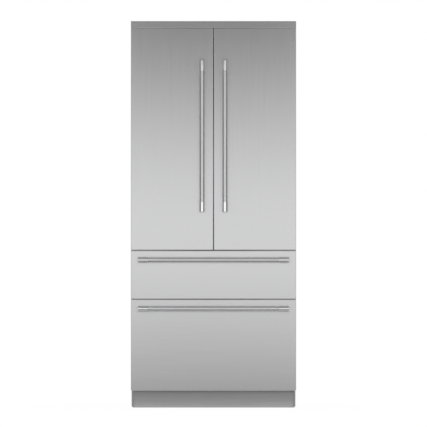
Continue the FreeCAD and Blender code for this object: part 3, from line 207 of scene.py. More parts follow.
# %% Paint and plastic finishes
case_paint = finish("powder_painted_case", ("#98999B", "#A0A1A3"), (0.42, 0.52), (1.5, 1.5, 1.5), 0.06)
liner_white = finish("vacuum_formed_styrene", ("#E6E8E9", "#F0F1F2"), (0.28, 0.36), (35, 35, 35), 0.05)
bin_white = finish("moulded_polypropylene", ("#DDE0E2", "#E8EAEB"), (0.34, 0.42), (18, 18, 18), 0.05)
foam = finish("rigid_foam", ("#D9C9A0", "#E8DBB8"), (0.8, 0.95), (2.5, 2.5, 2.5), 0.5, 4.0)
seal_vinyl = finish("soft_vinyl_seal", ("#A9ABAD", "#B3B5B7"), (0.5, 0.62), (3, 3, 3), 0.05)
black_rubber = finish("black_rubber", ("#1C1C1D", "#262627"), (0.65, 0.8), (1, 1, 1), 0.1)
can_enamel = finish("black_stove_enamel", ("#141415", "#1B1B1C"), (0.24, 0.34), (5, 5, 5), 0.08)
# The same black also serves the track slots, where it is painted shade for the openings.
black_moulding_and_slot_shade = finish("grained_black_plastic_and_slot_shade", ("#1D1E20", "#27282A"), (0.45, 0.6), (0.8, 0.8, 0.8), 0.12)
roller_nylon = finish("grey_nylon", ("#4B4D50", "#585A5D"), (0.4, 0.5), (1.2, 1.2, 1.2), 0.06)
frame_enamel = finish("white_coated_steel", ("#CFD2D4", "#DADDDF"), (0.3, 0.4), (2, 2, 2), 0.04)

# %% Dress the painted and moulded nodes
dress(case_paint, "outer_case")
dress(liner_white, "fridge_liner", "freezer_liner", "duct_covers", "drawer_rail", "flip_mullion")
dress(liner_white, "left_door_liner", "right_door_liner", "upper_drawer_liner", "lower_drawer_liner")
dress(bin_white, "upper_drawer_bin", "lower_drawer_bin")
dress(foam, "insulation")
dress(seal_vinyl, "left_door_gasket", "right_door_gasket", "upper_drawer_gasket", "lower_drawer_gasket")
dress(black_rubber, "compressor_grommets")
dress(can_enamel, "compressor")
dress(black_moulding_and_slot_shade, "condenser_fan_housing", "condenser_fan", "fridge_fan", "freezer_fan")
dress(black_moulding_and_slot_shade, "drain_pan", "control_box", "control_panel")
dress(roller_nylon, "left_roller", "right_roller")
dress(frame_enamel, "shelf_frames")

# %% [markdown]
# ## Glass and clear plastic
# The shelves are toughened glass, faintly green at the edges, and the bins and crispers are clear
# polystyrene. Both are thin, so a transmissive shader with a pale tint reads well. The clear plastic is a
# little rough, because moulded parts scatter more than float glass.

# %% Clear finishes
GLASS = {"Transmission_Weight": 0.92, "IOR": 1.52}
STYRENE = {"Transmission_Weight": 0.9, "IOR": 1.59}
shelf_glass = finish("toughened_glass", ("#EEF6F3", "#F5FAF8"), (0.02, 0.05), (60, 60, 60), 0.0, **GLASS)
clear_styrene = finish("clear_styrene", ("#F3F7F9", "#FAFCFD"), (0.05, 0.09), (25, 25, 25), 0.02, **STYRENE)
opal_styrene = finish("opal_styrene", ("#EEF0F0", "#F6F7F7"), (0.4, 0.5), (8, 8, 8), 0.02)
black_glass = finish("black_touch_glass", ("#08090A", "#0D0E10"), (0.04, 0.08), (50, 50, 50), 0.0)
dress(shelf_glass, "shelf_glass")
dress(clear_styrene, "left_door_bins", "right_door_bins", "crisper_drawers")

# %% [markdown]
# ## Pieces from grids of points
# Every small fitting below is a surface on a grid: one direction of the grid runs along the piece and the
# other runs round its section. numpy works out all the points at once from a formula, and each cell of the
# grid becomes one quad. Blender could also model these by hand with extrude and bevel, but a formula keeps
# the sizes visible and repeats well. Ends that shrink to a point are merged, and the faces are turned
# outwards afterwards, because a mirrored formula would leave them inside out.

# %% Grids of points to meshes
MERGE_BELOW = 1e-6


def shell(points, ring_closed=True, rows_closed=False, caps=True):
    """Points of shape (rows, ring, 3) as (points, faces): a quad per cell, a flat face on each open end."""
    rows, ring = points.shape[:2]
    i = np.arange(rows if rows_closed else rows - 1)
    j = np.arange(ring if ring_closed else ring - 1)
    i, j = (part.ravel() for part in np.meshgrid(i, j, indexing="ij"))
    next_i, next_j = (i + 1) % rows, (j + 1) % ring
    corners = [i * ring + j, next_i * ring + j, next_i * ring + next_j, i * ring + next_j]
    faces = np.stack(corners, axis=1).tolist()
    if caps:
        faces += [list(range(ring)), list(range((rows - 1) * ring, rows * ring))]
    return points.reshape(-1, 3), faces


def mesh_of(name, shells):
    """One mesh from several shells, with merged poles and outward faces."""
    starts = np.cumsum([0] + [len(points) for points, _ in shells])
    own_faces = [(int(start), face) for start, (_, faces) in zip(starts, shells) for face in faces]
    faces = [[corner + start for corner in face] for start, face in own_faces]
    mesh = bpy.data.meshes.new(name)
    mesh.from_pydata(np.concatenate([points for points, _ in shells]).tolist(), [], faces)
    work = bmesh.new()
    work.from_mesh(mesh)
    bmesh.ops.remove_doubles(work, verts=work.verts, dist=MERGE_BELOW)
    bmesh.ops.recalc_face_normals(work, faces=work.faces)
    work.to_mesh(mesh)
    work.free()
    return mesh


# %% Meshes to pieces of the object
SMOOTH_BELOW = np.radians(40)


def make_piece(name, shells, body, material, slot, *instead_of):
    """Builds a fitting, puts it on its body and hides the CAD nodes that it stands for."""
    mesh = mesh_of(name, shells)
    mesh.shade_smooth()
    mesh.set_sharp_from_angle(angle=SMOOTH_BELOW)
    mesh.materials.append(material)
    piece = bpy.data.objects.new(name, mesh)
    bpy.context.scene.collection.objects.link(piece)
    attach(piece, body)
    if instead_of:
        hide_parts(*instead_of)
    print(name, "on", body, "with", len(mesh.polygons), "faces")
    return piece


def node_box(name):
    """The lowest and highest corner of a CAD node, as arrays in metres."""
    low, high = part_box(name)
    return np.array(low), np.array(high)


def squared(turned, power):
    """A cosine or sine, raised to a power below 1 with its sign kept, which makes a circle squarer."""
    return np.sign(turned) * np.abs(turned) ** power


# %% [markdown]
# ## Door seals
# A refrigerator seal is an extruded vinyl bellows with a magnet in its outer lip, cut at 45 degrees and
# welded at the corners. The section is one closed curve. Carried round the four corners of a rectangle it
# makes the whole frame, and because each point of the section moves out by the same amount along both
# sides, the corners come out as true mitres.

# %% Bellows seals
SEAL_WIDTH, SEAL_SECTION = 18 * MM, 40
SEAL_SQUARE, SEAL_PINCH = 0.5, 0.18


def mitred_seal(node):
    """A bellows section round a rectangle.

    The section is a squared ellipse of angle t. Its width is multiplied by 1 - pinch + pinch * cos(4 pi s)
    at the share s of its depth, so it is pinched twice. Offset a from the middle line puts each corner of
    the rectangle at (half width + a, half height + a).
    """
    low, high = node_box(node)
    t = np.linspace(0, 2 * np.pi, SEAL_SECTION, endpoint=False)
    share = (1 + squared(np.sin(t), SEAL_SQUARE)) / 2
    pinched = 1 - SEAL_PINCH + SEAL_PINCH * np.cos(4 * np.pi * share)
    offset = SEAL_WIDTH / 2 * squared(np.cos(t), SEAL_SQUARE) * pinched
    depth = low[1] + (high[1] - low[1]) * share
    middle, half = (low + high) / 2, (high - low) / 2 - SEAL_WIDTH / 2
    sign_x, sign_z = np.array([1, -1, -1, 1]), np.array([1, 1, -1, -1])
    x = middle[0] + sign_x * (half[0] + offset[:, None])
    z = middle[2] + sign_z * (half[2] + offset[:, None])
    y = np.broadcast_to(depth[:, None], x.shape)
    return shell(np.stack([x, y, z], axis=-1), rows_closed=True, caps=False)


for body in ("left_door", "right_door", "upper_drawer", "lower_drawer"):
    gasket = f"{body}_gasket"
    make_piece(f"{body}_bellows_seal", [mitred_seal(gasket)], body, seal_vinyl, "seal_rubber", gasket)

# %% [markdown]
# ## Cast handle ends
# Each bar is held by two chromed castings: a short sleeve over the end of the bar, with a softly rounded
# cap, a fine groove near its mouth, and a post that grows wider where it stands on the steel front. The
# sleeve is a profile turned about the bar, as on a lathe. The post is a row of squared ellipses that flare
# towards the door, which gives the soft corners of a casting without any bevel.

# %% Sleeves turned about the bar
CAP_EASE, CAP_STEPS, SLEEVE_SIDES = 3.0, 7, 40
GROOVE_BACK, GROOVE_WIDTH, GROOVE_SLOPE, GROOVE_DEPTH = 8.0, 1.6, 0.4, 0.5
MOUTH_BEVEL, MOUTH_GAP = 1.2, 0.2


def revolved(profile_mm, start, axis, sides=32, looped=False):
    """A profile of (distance along the axis, radius) rows turned about the axis through start.

    A point is start + distance * axis + radius * (cos t * e1 + sin t * e2), where e1 and e2 are square to
    the axis. The profile starts and ends at radius zero, or else it is looped and makes a ring.
    """
    along, radius = np.array(profile_mm).T[:, :, None, None] * MM
    axis = np.array(axis, dtype=float)
    e1 = np.cross(axis, (0, 1, 0) if abs(axis[1]) < 0.5 else (1, 0, 0))
    e2 = np.cross(axis, e1)
    t = np.linspace(0, 2 * np.pi, sides, endpoint=False)[None, :, None]
    points = np.array(start) + along * axis + radius * (np.cos(t) * e1 + np.sin(t) * e2)
    return shell(points, rows_closed=looped, caps=False)


def sleeve_profile(radius, bar_radius, length):
    """A cap with a quarter round, a straight sleeve, a groove and a bevelled mouth, in mm along the bar."""
    t = np.linspace(np.pi / 2, 0, CAP_STEPS)
    cap = zip(CAP_EASE * (1 - np.sin(t)), radius - CAP_EASE * (1 - np.cos(t)))
    edge = length - GROOVE_BACK
    groove = [
        (edge, radius),
        (edge + GROOVE_SLOPE, radius - GROOVE_DEPTH),
        (edge + GROOVE_WIDTH - GROOVE_SLOPE, radius - GROOVE_DEPTH),
        (edge + GROOVE_WIDTH, radius),
    ]
    mouth = [(length - MOUTH_BEVEL, radius), (length, bar_radius + MOUTH_GAP), (length, 0.0)]
    return [(0.0, 0.0), *cap, *groove, *mouth]


# %% Posts that flare towards the front
POST_HALF_LONG, POST_HALF_WIDE, POST_SETBACK = 12 * MM, 8.5 * MM, 25 * MM
POST_FLARE, FLARE_POWER, POST_SQUARE = 3.5 * MM, 6, 0.6
POST_ROWS, POST_SIDES = 15, 36


def flared_post(start, foot_y, along):
    """Squared ellipses from the bar to the front, wider near the front by flare * share ** power."""
    share = np.linspace(0, 1, POST_ROWS)[:, None]
    t = np.linspace(0, 2 * np.pi, POST_SIDES, endpoint=False)[None, :]
    flare = POST_FLARE * share**FLARE_POWER
    long_way = (POST_HALF_LONG + flare) * squared(np.cos(t), POST_SQUARE)
    wide_way = (POST_HALF_WIDE + flare) * squared(np.sin(t), POST_SQUARE)
    points = np.empty((*long_way.shape, 3))
    points[..., along] = start[along] + long_way
    points[..., 2 - along] = start[2 - along] + wide_way
    points[..., 1] = start[1] + (foot_y - start[1]) * share
    return shell(points)


# %% Handle castings
# The fronts lie in X and Z, so where one of these is the axis along a piece, 2 - along is the one across it.
AXIS_X, AXIS_Z = 0, 2
HANDLES = {"left_door": AXIS_Z, "right_door": AXIS_Z, "upper_drawer": AXIS_X, "lower_drawer": AXIS_X}


def casting_pair(ends, bar, along):
    """Both castings of a handle, whose bar runs along one axis."""
    low, high = node_box(ends)
    bar_low, bar_high = node_box(bar)
    wide = 2 - along
    radius = (high[wide] - low[wide]) / 2
    bar_radius = (bar_high[wide] - bar_low[wide]) / 2
    length = bar_low[along] - low[along]
    profile = sleeve_profile(radius / MM, bar_radius / MM, length / MM)
    shells = []
    for at, turn_to in ((low[along], 1.0), (high[along], -1.0)):
        start, axis = (low + high) / 2, np.zeros(3)
        start[1], start[along], axis[along] = low[1] + radius, at, turn_to
        shells.append(revolved(profile, start, axis, SLEEVE_SIDES))
        start[along] += POST_SETBACK * turn_to
        shells.append(flared_post(start, high[1], along))
    return shells


for body, along in HANDLES.items():
    side = body.split("_")[0]
    castings = casting_pair(f"{side}_handle_ends", f"{side}_handle_bar", along)
    make_piece(f"{side}_handle_castings", castings, body, chrome, "chrome", f"{side}_handle_ends")

# %% [markdown]
# ## Bins and crispers
# The clear bins are injection moulded, so every corner is round, the walls lean out a little so that the
# tool can let go, and the top edge is thickened into a rim. One profile, from the outer floor over the rim
# and down to the inner floor, is carried round a rounded rectangle. The plain CAD tubs stay behind for
# collision, hidden.

# %% Moulded tubs
TUB_RADIUS, TUB_LEAN, TUB_EASE = 14.0, 1.2, 2.5
EASE_IN, EASE_UP = 0.6, 0.7
RIM_PROUD, RIM_LIP, RIM_ROUND = 0.3, 1.6, 0.8
RIM_OUTER_EDGE, RIM_INNER_EDGE = 0.5, 0.6
RIM_OUTER_FADE, RIM_INNER_FADE = 1.0, 1.5


def rounded_ring(half_u, half_v, radius, steps=6):
    """The outline of a rounded rectangle, as rows of (u, v): four quarter circles, joined by straights."""
    t = np.linspace(0, np.pi / 2, steps)[None, :] + np.arange(4)[:, None] * np.pi / 2
    sign_u, sign_v = np.array([1, -1, -1, 1])[:, None], np.array([1, 1, -1, -1])[:, None]
    u = sign_u * (half_u - radius) + radius * np.cos(t)
    v = sign_v * (half_v - radius) + radius * np.sin(t)
    return np.stack([u.ravel(), v.ravel()], axis=1)


def tub_profile(top, wall, rim):
    """Rows of (inset, height) in mm: up the leaning outside, over the rim and down to the inner floor."""
    inner = wall + TUB_LEAN
    lip = wall + RIM_LIP
    return [
        (TUB_LEAN + TUB_EASE, 0),
        (TUB_LEAN + EASE_IN, EASE_UP),
        (TUB_LEAN, TUB_EASE),
        (RIM_PROUD, top - rim - RIM_OUTER_FADE),
        (0, top - rim),
        (0, top - RIM_ROUND),
        (RIM_OUTER_EDGE, top),
        (lip - RIM_INNER_EDGE, top),
        (lip, top - RIM_ROUND),
        (lip, top - rim),
        (wall + RIM_PROUD, top - rim - RIM_INNER_FADE),
        (inner, wall + TUB_EASE),
        (inner + EASE_IN, wall + EASE_UP),
        (inner + TUB_EASE, wall),
    ]


def moulded_tub(low, high, wall, rim):
    """A tub between two corners: rings of a rounded rectangle, each set in by its row of the profile.

    A ring's corner radius shrinks by its own inset, so the wall keeps its thickness round the corners.
    """
    size = (high - low) / MM
    profile = tub_profile(size[2], wall, rim)
    rings = [rounded_ring(size[0] / 2 - i, size[1] / 2 - i, TUB_RADIUS - i) for i, _ in profile]
    heights = np.array([height for _, height in profile])[:, None, None]
    level = np.broadcast_to(heights, (len(profile), len(rings[0]), 1))
    middle = np.array([(low[0] + high[0]) / 2, (low[1] + high[1]) / 2, low[2]])
    return shell(np.concatenate([np.array(rings), level], axis=2) * MM + middle)


# %% Door bins and crispers
BIN_HEIGHT, BIN_COUNT, BIN_WALL, BIN_RIM = 100 * MM, 3, 2.5, 9
CRISPER_INNER, CRISPER_WALL, CRISPER_RIM = 8 * MM, 3.0, 12


def bin_floors(side):
    """The floors of one door's bins, evenly spaced between the lowest and the highest."""
    low, high = node_box(f"{side}_door_bins")
    pitch = (high[2] - low[2] - BIN_HEIGHT) / (BIN_COUNT - 1)
    return low[2] + pitch * np.arange(BIN_COUNT)


for side in ("left", "right"):
    plain = f"{side}_door_bins"
    low, high = node_box(plain)
    tubs = []
    for floor in bin_floors(side):
        low[2], high[2] = floor, floor + BIN_HEIGHT
        tubs.append(moulded_tub(low, high, BIN_WALL, BIN_RIM))
    make_piece(f"{side}_moulded_bins", tubs, f"{side}_door", clear_styrene, "clear_plastic", plain)

low, high = node_box("crisper_drawers")
crispers = [
    moulded_tub(low, np.array([-CRISPER_INNER, high[1], high[2]]), CRISPER_WALL, CRISPER_RIM),
    moulded_tub(np.array([CRISPER_INNER, low[1], low[2]]), high, CRISPER_WALL, CRISPER_RIM),
]
make_piece("moulded_crispers", crispers, "cabinet", clear_styrene, "clear_plastic", "crisper_drawers")

# %% [markdown]
# ## Hems, trims and pulls
# The steel sheets end in folded hems, which narrow the seams between the fronts to a fine line. Glass
# shelves have a moulded trim along the front edge that stands a little above the glass and stops spills.
# The door bins have a bright strip along the top, and each crisper has a pull. All of these are bars with a
# softly squared section and ends that draw in, so one function makes them from two corners.

# %% Soft bars
BAR_SQUARE, BAR_SIDES = 0.45, 28
END_EASE, END_SHARE = 1.5 * MM, 0.82


def soft_bar(low, high, along):
    """A bar between two corners. Its section is a squared ellipse, and both ends shrink to END_SHARE."""
    low, high = np.array(low), np.array(high)
    first, second = (axis for axis in range(3) if axis != along)
    middle, half = (low + high) / 2, (high - low) / 2
    place = np.array([low[along], low[along] + END_EASE, high[along] - END_EASE, high[along]])[:, None]
    share = np.array([END_SHARE, 1.0, 1.0, END_SHARE])[:, None]
    t = np.linspace(0, 2 * np.pi, BAR_SIDES, endpoint=False)[None, :]
    points = np.empty((len(place), BAR_SIDES, 3))
    points[..., along] = place
    for axis, turned in ((first, np.cos(t)), (second, np.sin(t))):
        points[..., axis] = middle[axis] + half[axis] * share * squared(turned, BAR_SQUARE)
    return shell(points)


# %% Folded hems
HEM_BACK, HEM_DEPTH, HEM_SEAT, HEM_SHORT = 0.8 * MM, 9 * MM, 0.5 * MM, 1 * MM
HEMS = (
    ("header_foot_hem", "header_trim", "cabinet", AXIS_Z, -1.7 * MM),
    ("upper_drawer_top_hem", "upper_drawer_panel", "upper_drawer", AXIS_Z, 2.0 * MM),
    ("upper_drawer_foot_hem", "upper_drawer_panel", "upper_drawer", AXIS_Z, -2.7 * MM),
    ("left_door_seam_hem", "left_door_panel", "left_door", AXIS_X, 0.7 * MM),
    ("right_door_seam_hem", "right_door_panel", "right_door", AXIS_X, -0.7 * MM),
)
KICK_HEM = -2.7 * MM


def folded_hem(node, across, rise):
    """A soft bar along one edge of a sheet, which stands proud of it by rise.

    It lies on the high edge of the across axis, or on the low one where rise is negative.
    """
    low, high = node_box(node)
    edge = high[across] if rise > 0 else low[across]
    first, last = low + HEM_SHORT, high - HEM_SHORT
    first[1] = low[1] + HEM_BACK
    last[1] = first[1] + HEM_DEPTH
    first[across], last[across] = sorted((edge - np.sign(rise) * HEM_SEAT, edge + rise))
    return soft_bar(first, last, 2 - across)


for name, node, body, across, rise in HEMS:
    make_piece(name, [folded_hem(node, across, rise)], body, drawer_steel, "stainless")
# The hem along the kick plate's foot carries the same painted shade.
kick_hem = folded_hem("kick_plate", AXIS_Z, KICK_HEM)
make_piece("kick_plate_foot_hem", [kick_hem], "cabinet", kick_steel_painted_shade, "grey_steel")

# %% Shelf trims
TRIM_DEPTH, TRIM_BELOW, TRIM_ABOVE, TRIM_SHORT = 7 * MM, 12 * MM, 4 * MM, 1 * MM
HEIGHT_DIGITS = 4


def shelf_trim(left, right, front, top):
    """A trim from left to right across the front edge of a shelf whose glass ends at top."""
    low = (left, front - TRIM_DEPTH / 2, top - TRIM_BELOW)
    return soft_bar(low, (right, front + TRIM_DEPTH / 2, top + TRIM_ABOVE), AXIS_X)


glass_points = np.empty(len(nodes["shelf_glass"].data.vertices) * 3)
nodes["shelf_glass"].data.vertices.foreach_get("co", glass_points)
glass_points = glass_points.reshape(-1, 3)
glass_low, glass_high = glass_points.min(0), glass_points.max(0)
inner_end, outer_end = np.abs(glass_points[:, 0]).min(), -glass_low[0] - TRIM_SHORT
shelf_trims = []
for side in (-1, 1):
    heights = np.unique(np.round(glass_points[glass_points[:, 0] * side > 0, 2], HEIGHT_DIGITS))
    # Each pane gives two heights, and the second is its top. The lowest pane is the lid of the crispers.
    lid_top, *shelf_tops = heights[1::2]
    left, right = sorted((side * inner_end, side * outer_end))
    shelf_trims += [shelf_trim(left, right, glass_low[1], top) for top in shelf_tops]
lid_front = node_box("shelf_frames")[0][1]
shelf_trims.append(shelf_trim(glass_low[0], glass_high[0], lid_front, lid_top))
make_piece("shelf_front_trims", shelf_trims, "cabinet", frame_enamel, "white_bin")

# %% Bin strips
STRIP_DEPTH, STRIP_HEIGHT, STRIP_END, STRIP_DROP = 4 * MM, 13 * MM, 15 * MM, 1 * MM
for side in ("left", "right"):
    low, high = node_box(f"{side}_door_bins")
    strips = []
    for top in bin_floors(side) + BIN_HEIGHT:
        strip_low = (low[0] + STRIP_END, high[1] - STRIP_DEPTH / 2, top - STRIP_HEIGHT)
        strip_high = (high[0] - STRIP_END, high[1] + STRIP_DEPTH / 2, top - STRIP_DROP)
        strips.append(soft_bar(strip_low, strip_high, AXIS_X))
    make_piece(f"{side}_bin_strips", strips, f"{side}_door", aluminium, "aluminium")

# %% Crisper pulls
PULL_WIDTH, PULL_DEPTH, PULL_SEAT = 220 * MM, 11 * MM, 1.5 * MM
PULL_HEIGHT, PULL_DROP = 16 * MM, 34 * MM
low, high = node_box("crisper_drawers")
pulls = []
for middle_x in ((low[0] - CRISPER_INNER) / 2, (high[0] + CRISPER_INNER) / 2):
    pull_foot = high[2] - PULL_DROP
    pull_low = (middle_x - PULL_WIDTH / 2, low[1] - PULL_DEPTH, pull_foot)
    pull_high = (middle_x + PULL_WIDTH / 2, low[1] + PULL_SEAT, pull_foot + PULL_HEIGHT)
    pulls.append(soft_bar(pull_low, pull_high, AXIS_X))
make_piece("crisper_pulls", pulls, "cabinet", aluminium, "aluminium")

# %% [markdown]
# ## Slots of the shelf tracks
# The shelves hang on slotted tracks, so that they can be moved. The slots are punched at an even pitch, and
# a thin dark plate with round ends stands for each opening: painted shade, for the darkness inside a hole
# that is never seen through.

# %% Track slots
SLOT_PITCH, SLOT_HALF_WIDTH, SLOT_HALF_HEIGHT, SLOT_DEPTH = 22.5 * MM, 2.5 * MM, 7 * MM, 0.2 * MM
SLOT_ROUND, SLOT_STEPS = 0.999, 4
TRACK_PLACES = (-300 * MM, -40 * MM, 40 * MM, 300 * MM)


def slot_shade_plate(middle, half_width, half_height, depth):
    """A thin plate of painted shade for one slot, facing the front: a rounded rectangle whose corners are as
    round as it is wide.
    """
    ring = rounded_ring(half_width, half_height, half_width * SLOT_ROUND, SLOT_STEPS)
    sides = np.array([-depth, depth])[:, None]
    x = np.broadcast_to(middle[0] + ring[:, 0], (2, len(ring)))
    z = np.broadcast_to(middle[2] + ring[:, 1], (2, len(ring)))
    return shell(np.stack([x, np.broadcast_to(middle[1] + sides, x.shape), z], axis=-1))


low, high = node_box("shelf_tracks")
slot_heights = np.arange(low[2] + SLOT_PITCH, high[2] - SLOT_PITCH / 2, SLOT_PITCH)
slots = [
    slot_shade_plate((x, low[1], z), SLOT_HALF_WIDTH, SLOT_HALF_HEIGHT, SLOT_DEPTH)
    for x in TRACK_PLACES
    for z in slot_heights
]
# These dark plates are painted shade for the slot openings.
make_piece("track_slot_shades", slots, "cabinet", black_moulding_and_slot_shade, "black_plastic")

# %% [markdown]
# ## Controls and lamp
# The control strip under the ceiling has a dark glass front with a row of plain lights, and an opal lens
# below that spreads the lamp. Nothing is written on it. The lights are tiny domes turned from a profile,
# and the glass and the lens are soft bars again.

# %% Control front
PANE_HALF, PANE_PROUD, PANE_SEAT = 150 * MM, 1.6 * MM, 1 * MM
PANE_FOOT, PANE_HEAD = 6 * MM, 4 * MM
low, high = node_box("control_panel")
front, under = low[1], low[2]
pane_low = (-PANE_HALF, front - PANE_PROUD, under + PANE_FOOT)
pane = soft_bar(pane_low, (PANE_HALF, front + PANE_SEAT, high[2] - PANE_HEAD), AXIS_X)
make_piece("control_front_glass", [pane], "cabinet", black_glass, "black_plastic")

# %% Control lights
FORWARD = (0, -1, 0)
LIGHT_COUNT, LIGHT_REACH, LIGHT_SEAT, LIGHT_RISE = 7, 90 * MM, 0.2 * MM, 1 * MM
LIGHT_PROFILE, LIGHT_SIDES = [(0, 0), (0, 2.0), (0.5, 1.8), (0.8, 1.0), (0.9, 0)], 16
light_y, light_z = front - PANE_PROUD + LIGHT_SEAT, (under + high[2]) / 2 + LIGHT_RISE
light_xs = np.linspace(-LIGHT_REACH, LIGHT_REACH, LIGHT_COUNT)
lights = [revolved(LIGHT_PROFILE, (x, light_y, light_z), FORWARD, LIGHT_SIDES) for x in light_xs]
make_piece("control_lights", lights, "cabinet", opal_styrene, "white_bin")

# %% Lamp lens
LENS_HALF, LENS_MARGIN, LENS_DROP, LENS_SEAT = 135 * MM, 16 * MM, 5 * MM, 2 * MM
lens_low = (-LENS_HALF, front + LENS_MARGIN, under - LENS_DROP)
lens = soft_bar(lens_low, (LENS_HALF, high[1] - LENS_MARGIN, under + LENS_SEAT), AXIS_X)
make_piece("ceiling_lamp_lens", [lens], "cabinet", opal_styrene, "white_bin")

# %% [markdown]
# ## Fasteners, fan guard and pipes
# The back shows how the machine is put together: pan-head screws along the sheet, a lock nut on each foot,
# a welded wire guard over the condenser fan, and the bent pipes of the refrigerant circuit. Screws, nuts
# and the rings of the guard are turned profiles, given in millimetres. Pipes are a circle carried along a
# Bezier curve. Each lies in one upright plane, so the axis across that plane gives a frame that never
# twists.

# %% Screws
BACKWARD = (0, 1, 0)
SCREW_PROFILE = [(0, 0), (0, 4.4), (1.2, 4.2), (2.0, 3.2), (2.3, 2.0), (1.2, 1.7), (1.2, 0)]
SCREW_SIDES, SCREWS_UP, SCREWS_ACROSS = 20, 8, 6
RIB_HEIGHT, SCREW_EDGE = 3 * MM, 14 * MM
low, high = node_box("back_panel")
sheet_y = high[1] - RIB_HEIGHT
screw_heights = np.linspace(low[2] + SCREW_EDGE, high[2] - SCREW_EDGE, SCREWS_UP)
screw_xs = np.linspace(low[0] + SCREW_EDGE, high[0] - SCREW_EDGE, SCREWS_ACROSS)
screw_places = [(x, z) for x in screw_xs[[0, -1]] for z in screw_heights]
screw_places += [(x, z) for x in screw_xs[1:-1] for z in screw_heights[[0, -1]]]
screws = [revolved(SCREW_PROFILE, (x, sheet_y, z), BACKWARD, SCREW_SIDES) for x, z in screw_places]
make_piece("back_panel_screws", screws, "cabinet", zinc, "zinc_steel")

# %% Lock nuts
UPWARD = (0, 0, 1)
NUT_PROFILE = [(0, 6.5), (0, 10.2), (0.9, 11.4), (7.1, 11.4), (8, 10.2), (8, 6.5)]
NUT_SIDES, NUT_FOOT, FOOT_IN = 6, 51 * MM, 20 * MM
low, high = node_box("levelling_feet")
foot_y = (low[1] + high[1]) / 2
foot_xs = (low[0] + FOOT_IN, high[0] - FOOT_IN)
nuts = [revolved(NUT_PROFILE, (x, foot_y, NUT_FOOT), UPWARD, NUT_SIDES, True) for x in foot_xs]
make_piece("foot_lock_nuts", nuts, "cabinet", zinc, "zinc_steel")


# %% Tubes along Bezier curves
def bezier(controls, count=40):
    """Points of a Bezier curve: the controls, each weighted by a term of the binomial (t + (1 - t)) ** n.

    The term is n! / (k! (n - k)!) * t ** k * (1 - t) ** (n - k) for control k of 0 to n.
    """
    controls = np.array(controls)
    degree = len(controls) - 1
    weights = np.cumprod([1.0] + [(degree - k) / (k + 1) for k in range(degree)])
    t, k = np.linspace(0, 1, count)[:, None], np.arange(degree + 1)[None, :]
    return (weights * t**k * (1 - t) ** (degree - k)) @ controls


def tube(path, radius, across, sides=16):
    """A circle carried along a path that lies in one plane. across is the unit vector square to it."""
    tangent = np.gradient(path, axis=0)
    tangent /= np.linalg.norm(tangent, axis=1, keepdims=True)
    normal = np.cross(tangent, across)
    t = np.linspace(0, 2 * np.pi, sides, endpoint=False)[None, :, None]
    circle = np.cos(t) * normal[:, None, :] + np.sin(t) * np.array(across, dtype=float)
    return shell(path[:, None, :] + radius * circle)


# %% Fan guard
WIRE, WIRE_SIDES, RING_SIDES, SPOKES = 1.3, 8, 48, 4
GUARD_RINGS, GUARD_HEIGHT = (18.0, 36.0, 54.0, 72.0), 133 * MM
RING_LIFT, SPOKE_LIFT = 3.2 * WIRE, 1.3 * WIRE
SPOKE_FROM, SPOKE_TO, SPOKE_ROWS = 14 * MM, 92 * MM, 4
low, high = node_box("condenser_fan_housing")
guard_middle = np.array([(low[0] + high[0]) / 2, high[1], GUARD_HEIGHT])
t = np.linspace(0, 2 * np.pi, WIRE_SIDES, endpoint=False)
guard = []
for ring_radius in GUARD_RINGS:
    wire_loop = np.column_stack([RING_LIFT + WIRE * np.sin(t), ring_radius + WIRE * np.cos(t)])
    guard.append(revolved(wire_loop, guard_middle, BACKWARD, RING_SIDES, True))
reach = np.linspace(SPOKE_FROM, SPOKE_TO, SPOKE_ROWS)[:, None]
for angle in np.arange(SPOKES) * 2 * np.pi / SPOKES + np.pi / SPOKES:
    outward = np.array([np.cos(angle), 0.0, np.sin(angle)])
    spoke = guard_middle + reach * outward + np.array([0, SPOKE_LIFT * MM, 0])
    guard.append(tube(spoke, WIRE * MM, np.cross(outward, BACKWARD), WIRE_SIDES))
make_piece("condenser_fan_guard", guard, "cabinet", zinc, "zinc_steel")

# %% Refrigerant pipes
SIDEWAYS = (1, 0, 0)
PIPE_RADIUS, STUB_RADIUS, SLEEVE_RADIUS = 4 * MM, 3.2 * MM, 9 * MM
CAN_X, PIPE_ASIDE, SLEEVE_ASIDE = -230 * MM, 30 * MM, 5 * MM
OUTLET_HEIGHT, COIL_HEIGHT, COIL_Y = 125 * MM, 74 * MM, 95 * MM
low, high = node_box("compressor")
can_y, can_top = (low[1] + high[1]) / 2, high[2]
# The control box stands against the foam, so its front face gives the wall of the niche.
foam_rear = node_box("control_box")[0][1]


def upright_pipe(x, rows, radius):
    """A tube in the upright plane at x, along a Bezier curve whose controls are rows of (y, z)."""
    return tube(bezier([(x, y, z) for y, z in rows]), radius, SIDEWAYS)


discharge_rows = [
    (can_y - 60 * MM, OUTLET_HEIGHT),
    (foam_rear + 10 * MM, OUTLET_HEIGHT + 3 * MM),
    (foam_rear + 8 * MM, OUTLET_HEIGHT - 1 * MM),
    (foam_rear + 8 * MM, COIL_HEIGHT - 1 * MM),
    (foam_rear + 2 * MM, COIL_HEIGHT),
    (COIL_Y, COIL_HEIGHT),
]
stub_rows = [
    (can_y + 40 * MM, can_top - 10 * MM),
    (can_y + 40 * MM, can_top + 20 * MM),
    (can_y + 60 * MM, can_top + 30 * MM),
]
copper_pipes = [
    upright_pipe(CAN_X + PIPE_ASIDE, discharge_rows, PIPE_RADIUS),
    upright_pipe(CAN_X - PIPE_ASIDE, stub_rows, STUB_RADIUS),
]
make_piece("copper_pipes", copper_pipes, "cabinet", copper, "zinc_steel")
suction_rows = [
    (can_y - 10 * MM, can_top - 10 * MM),
    (can_y - 10 * MM, can_top + 55 * MM),
    (can_y - 40 * MM, can_top + 30 * MM),
    (foam_rear - 4 * MM, can_top + 30 * MM),
]
suction = upright_pipe(CAN_X - SLEEVE_ASIDE, suction_rows, SLEEVE_RADIUS)
make_piece("suction_sleeve", [suction], "cabinet", black_rubber, "black_plastic")

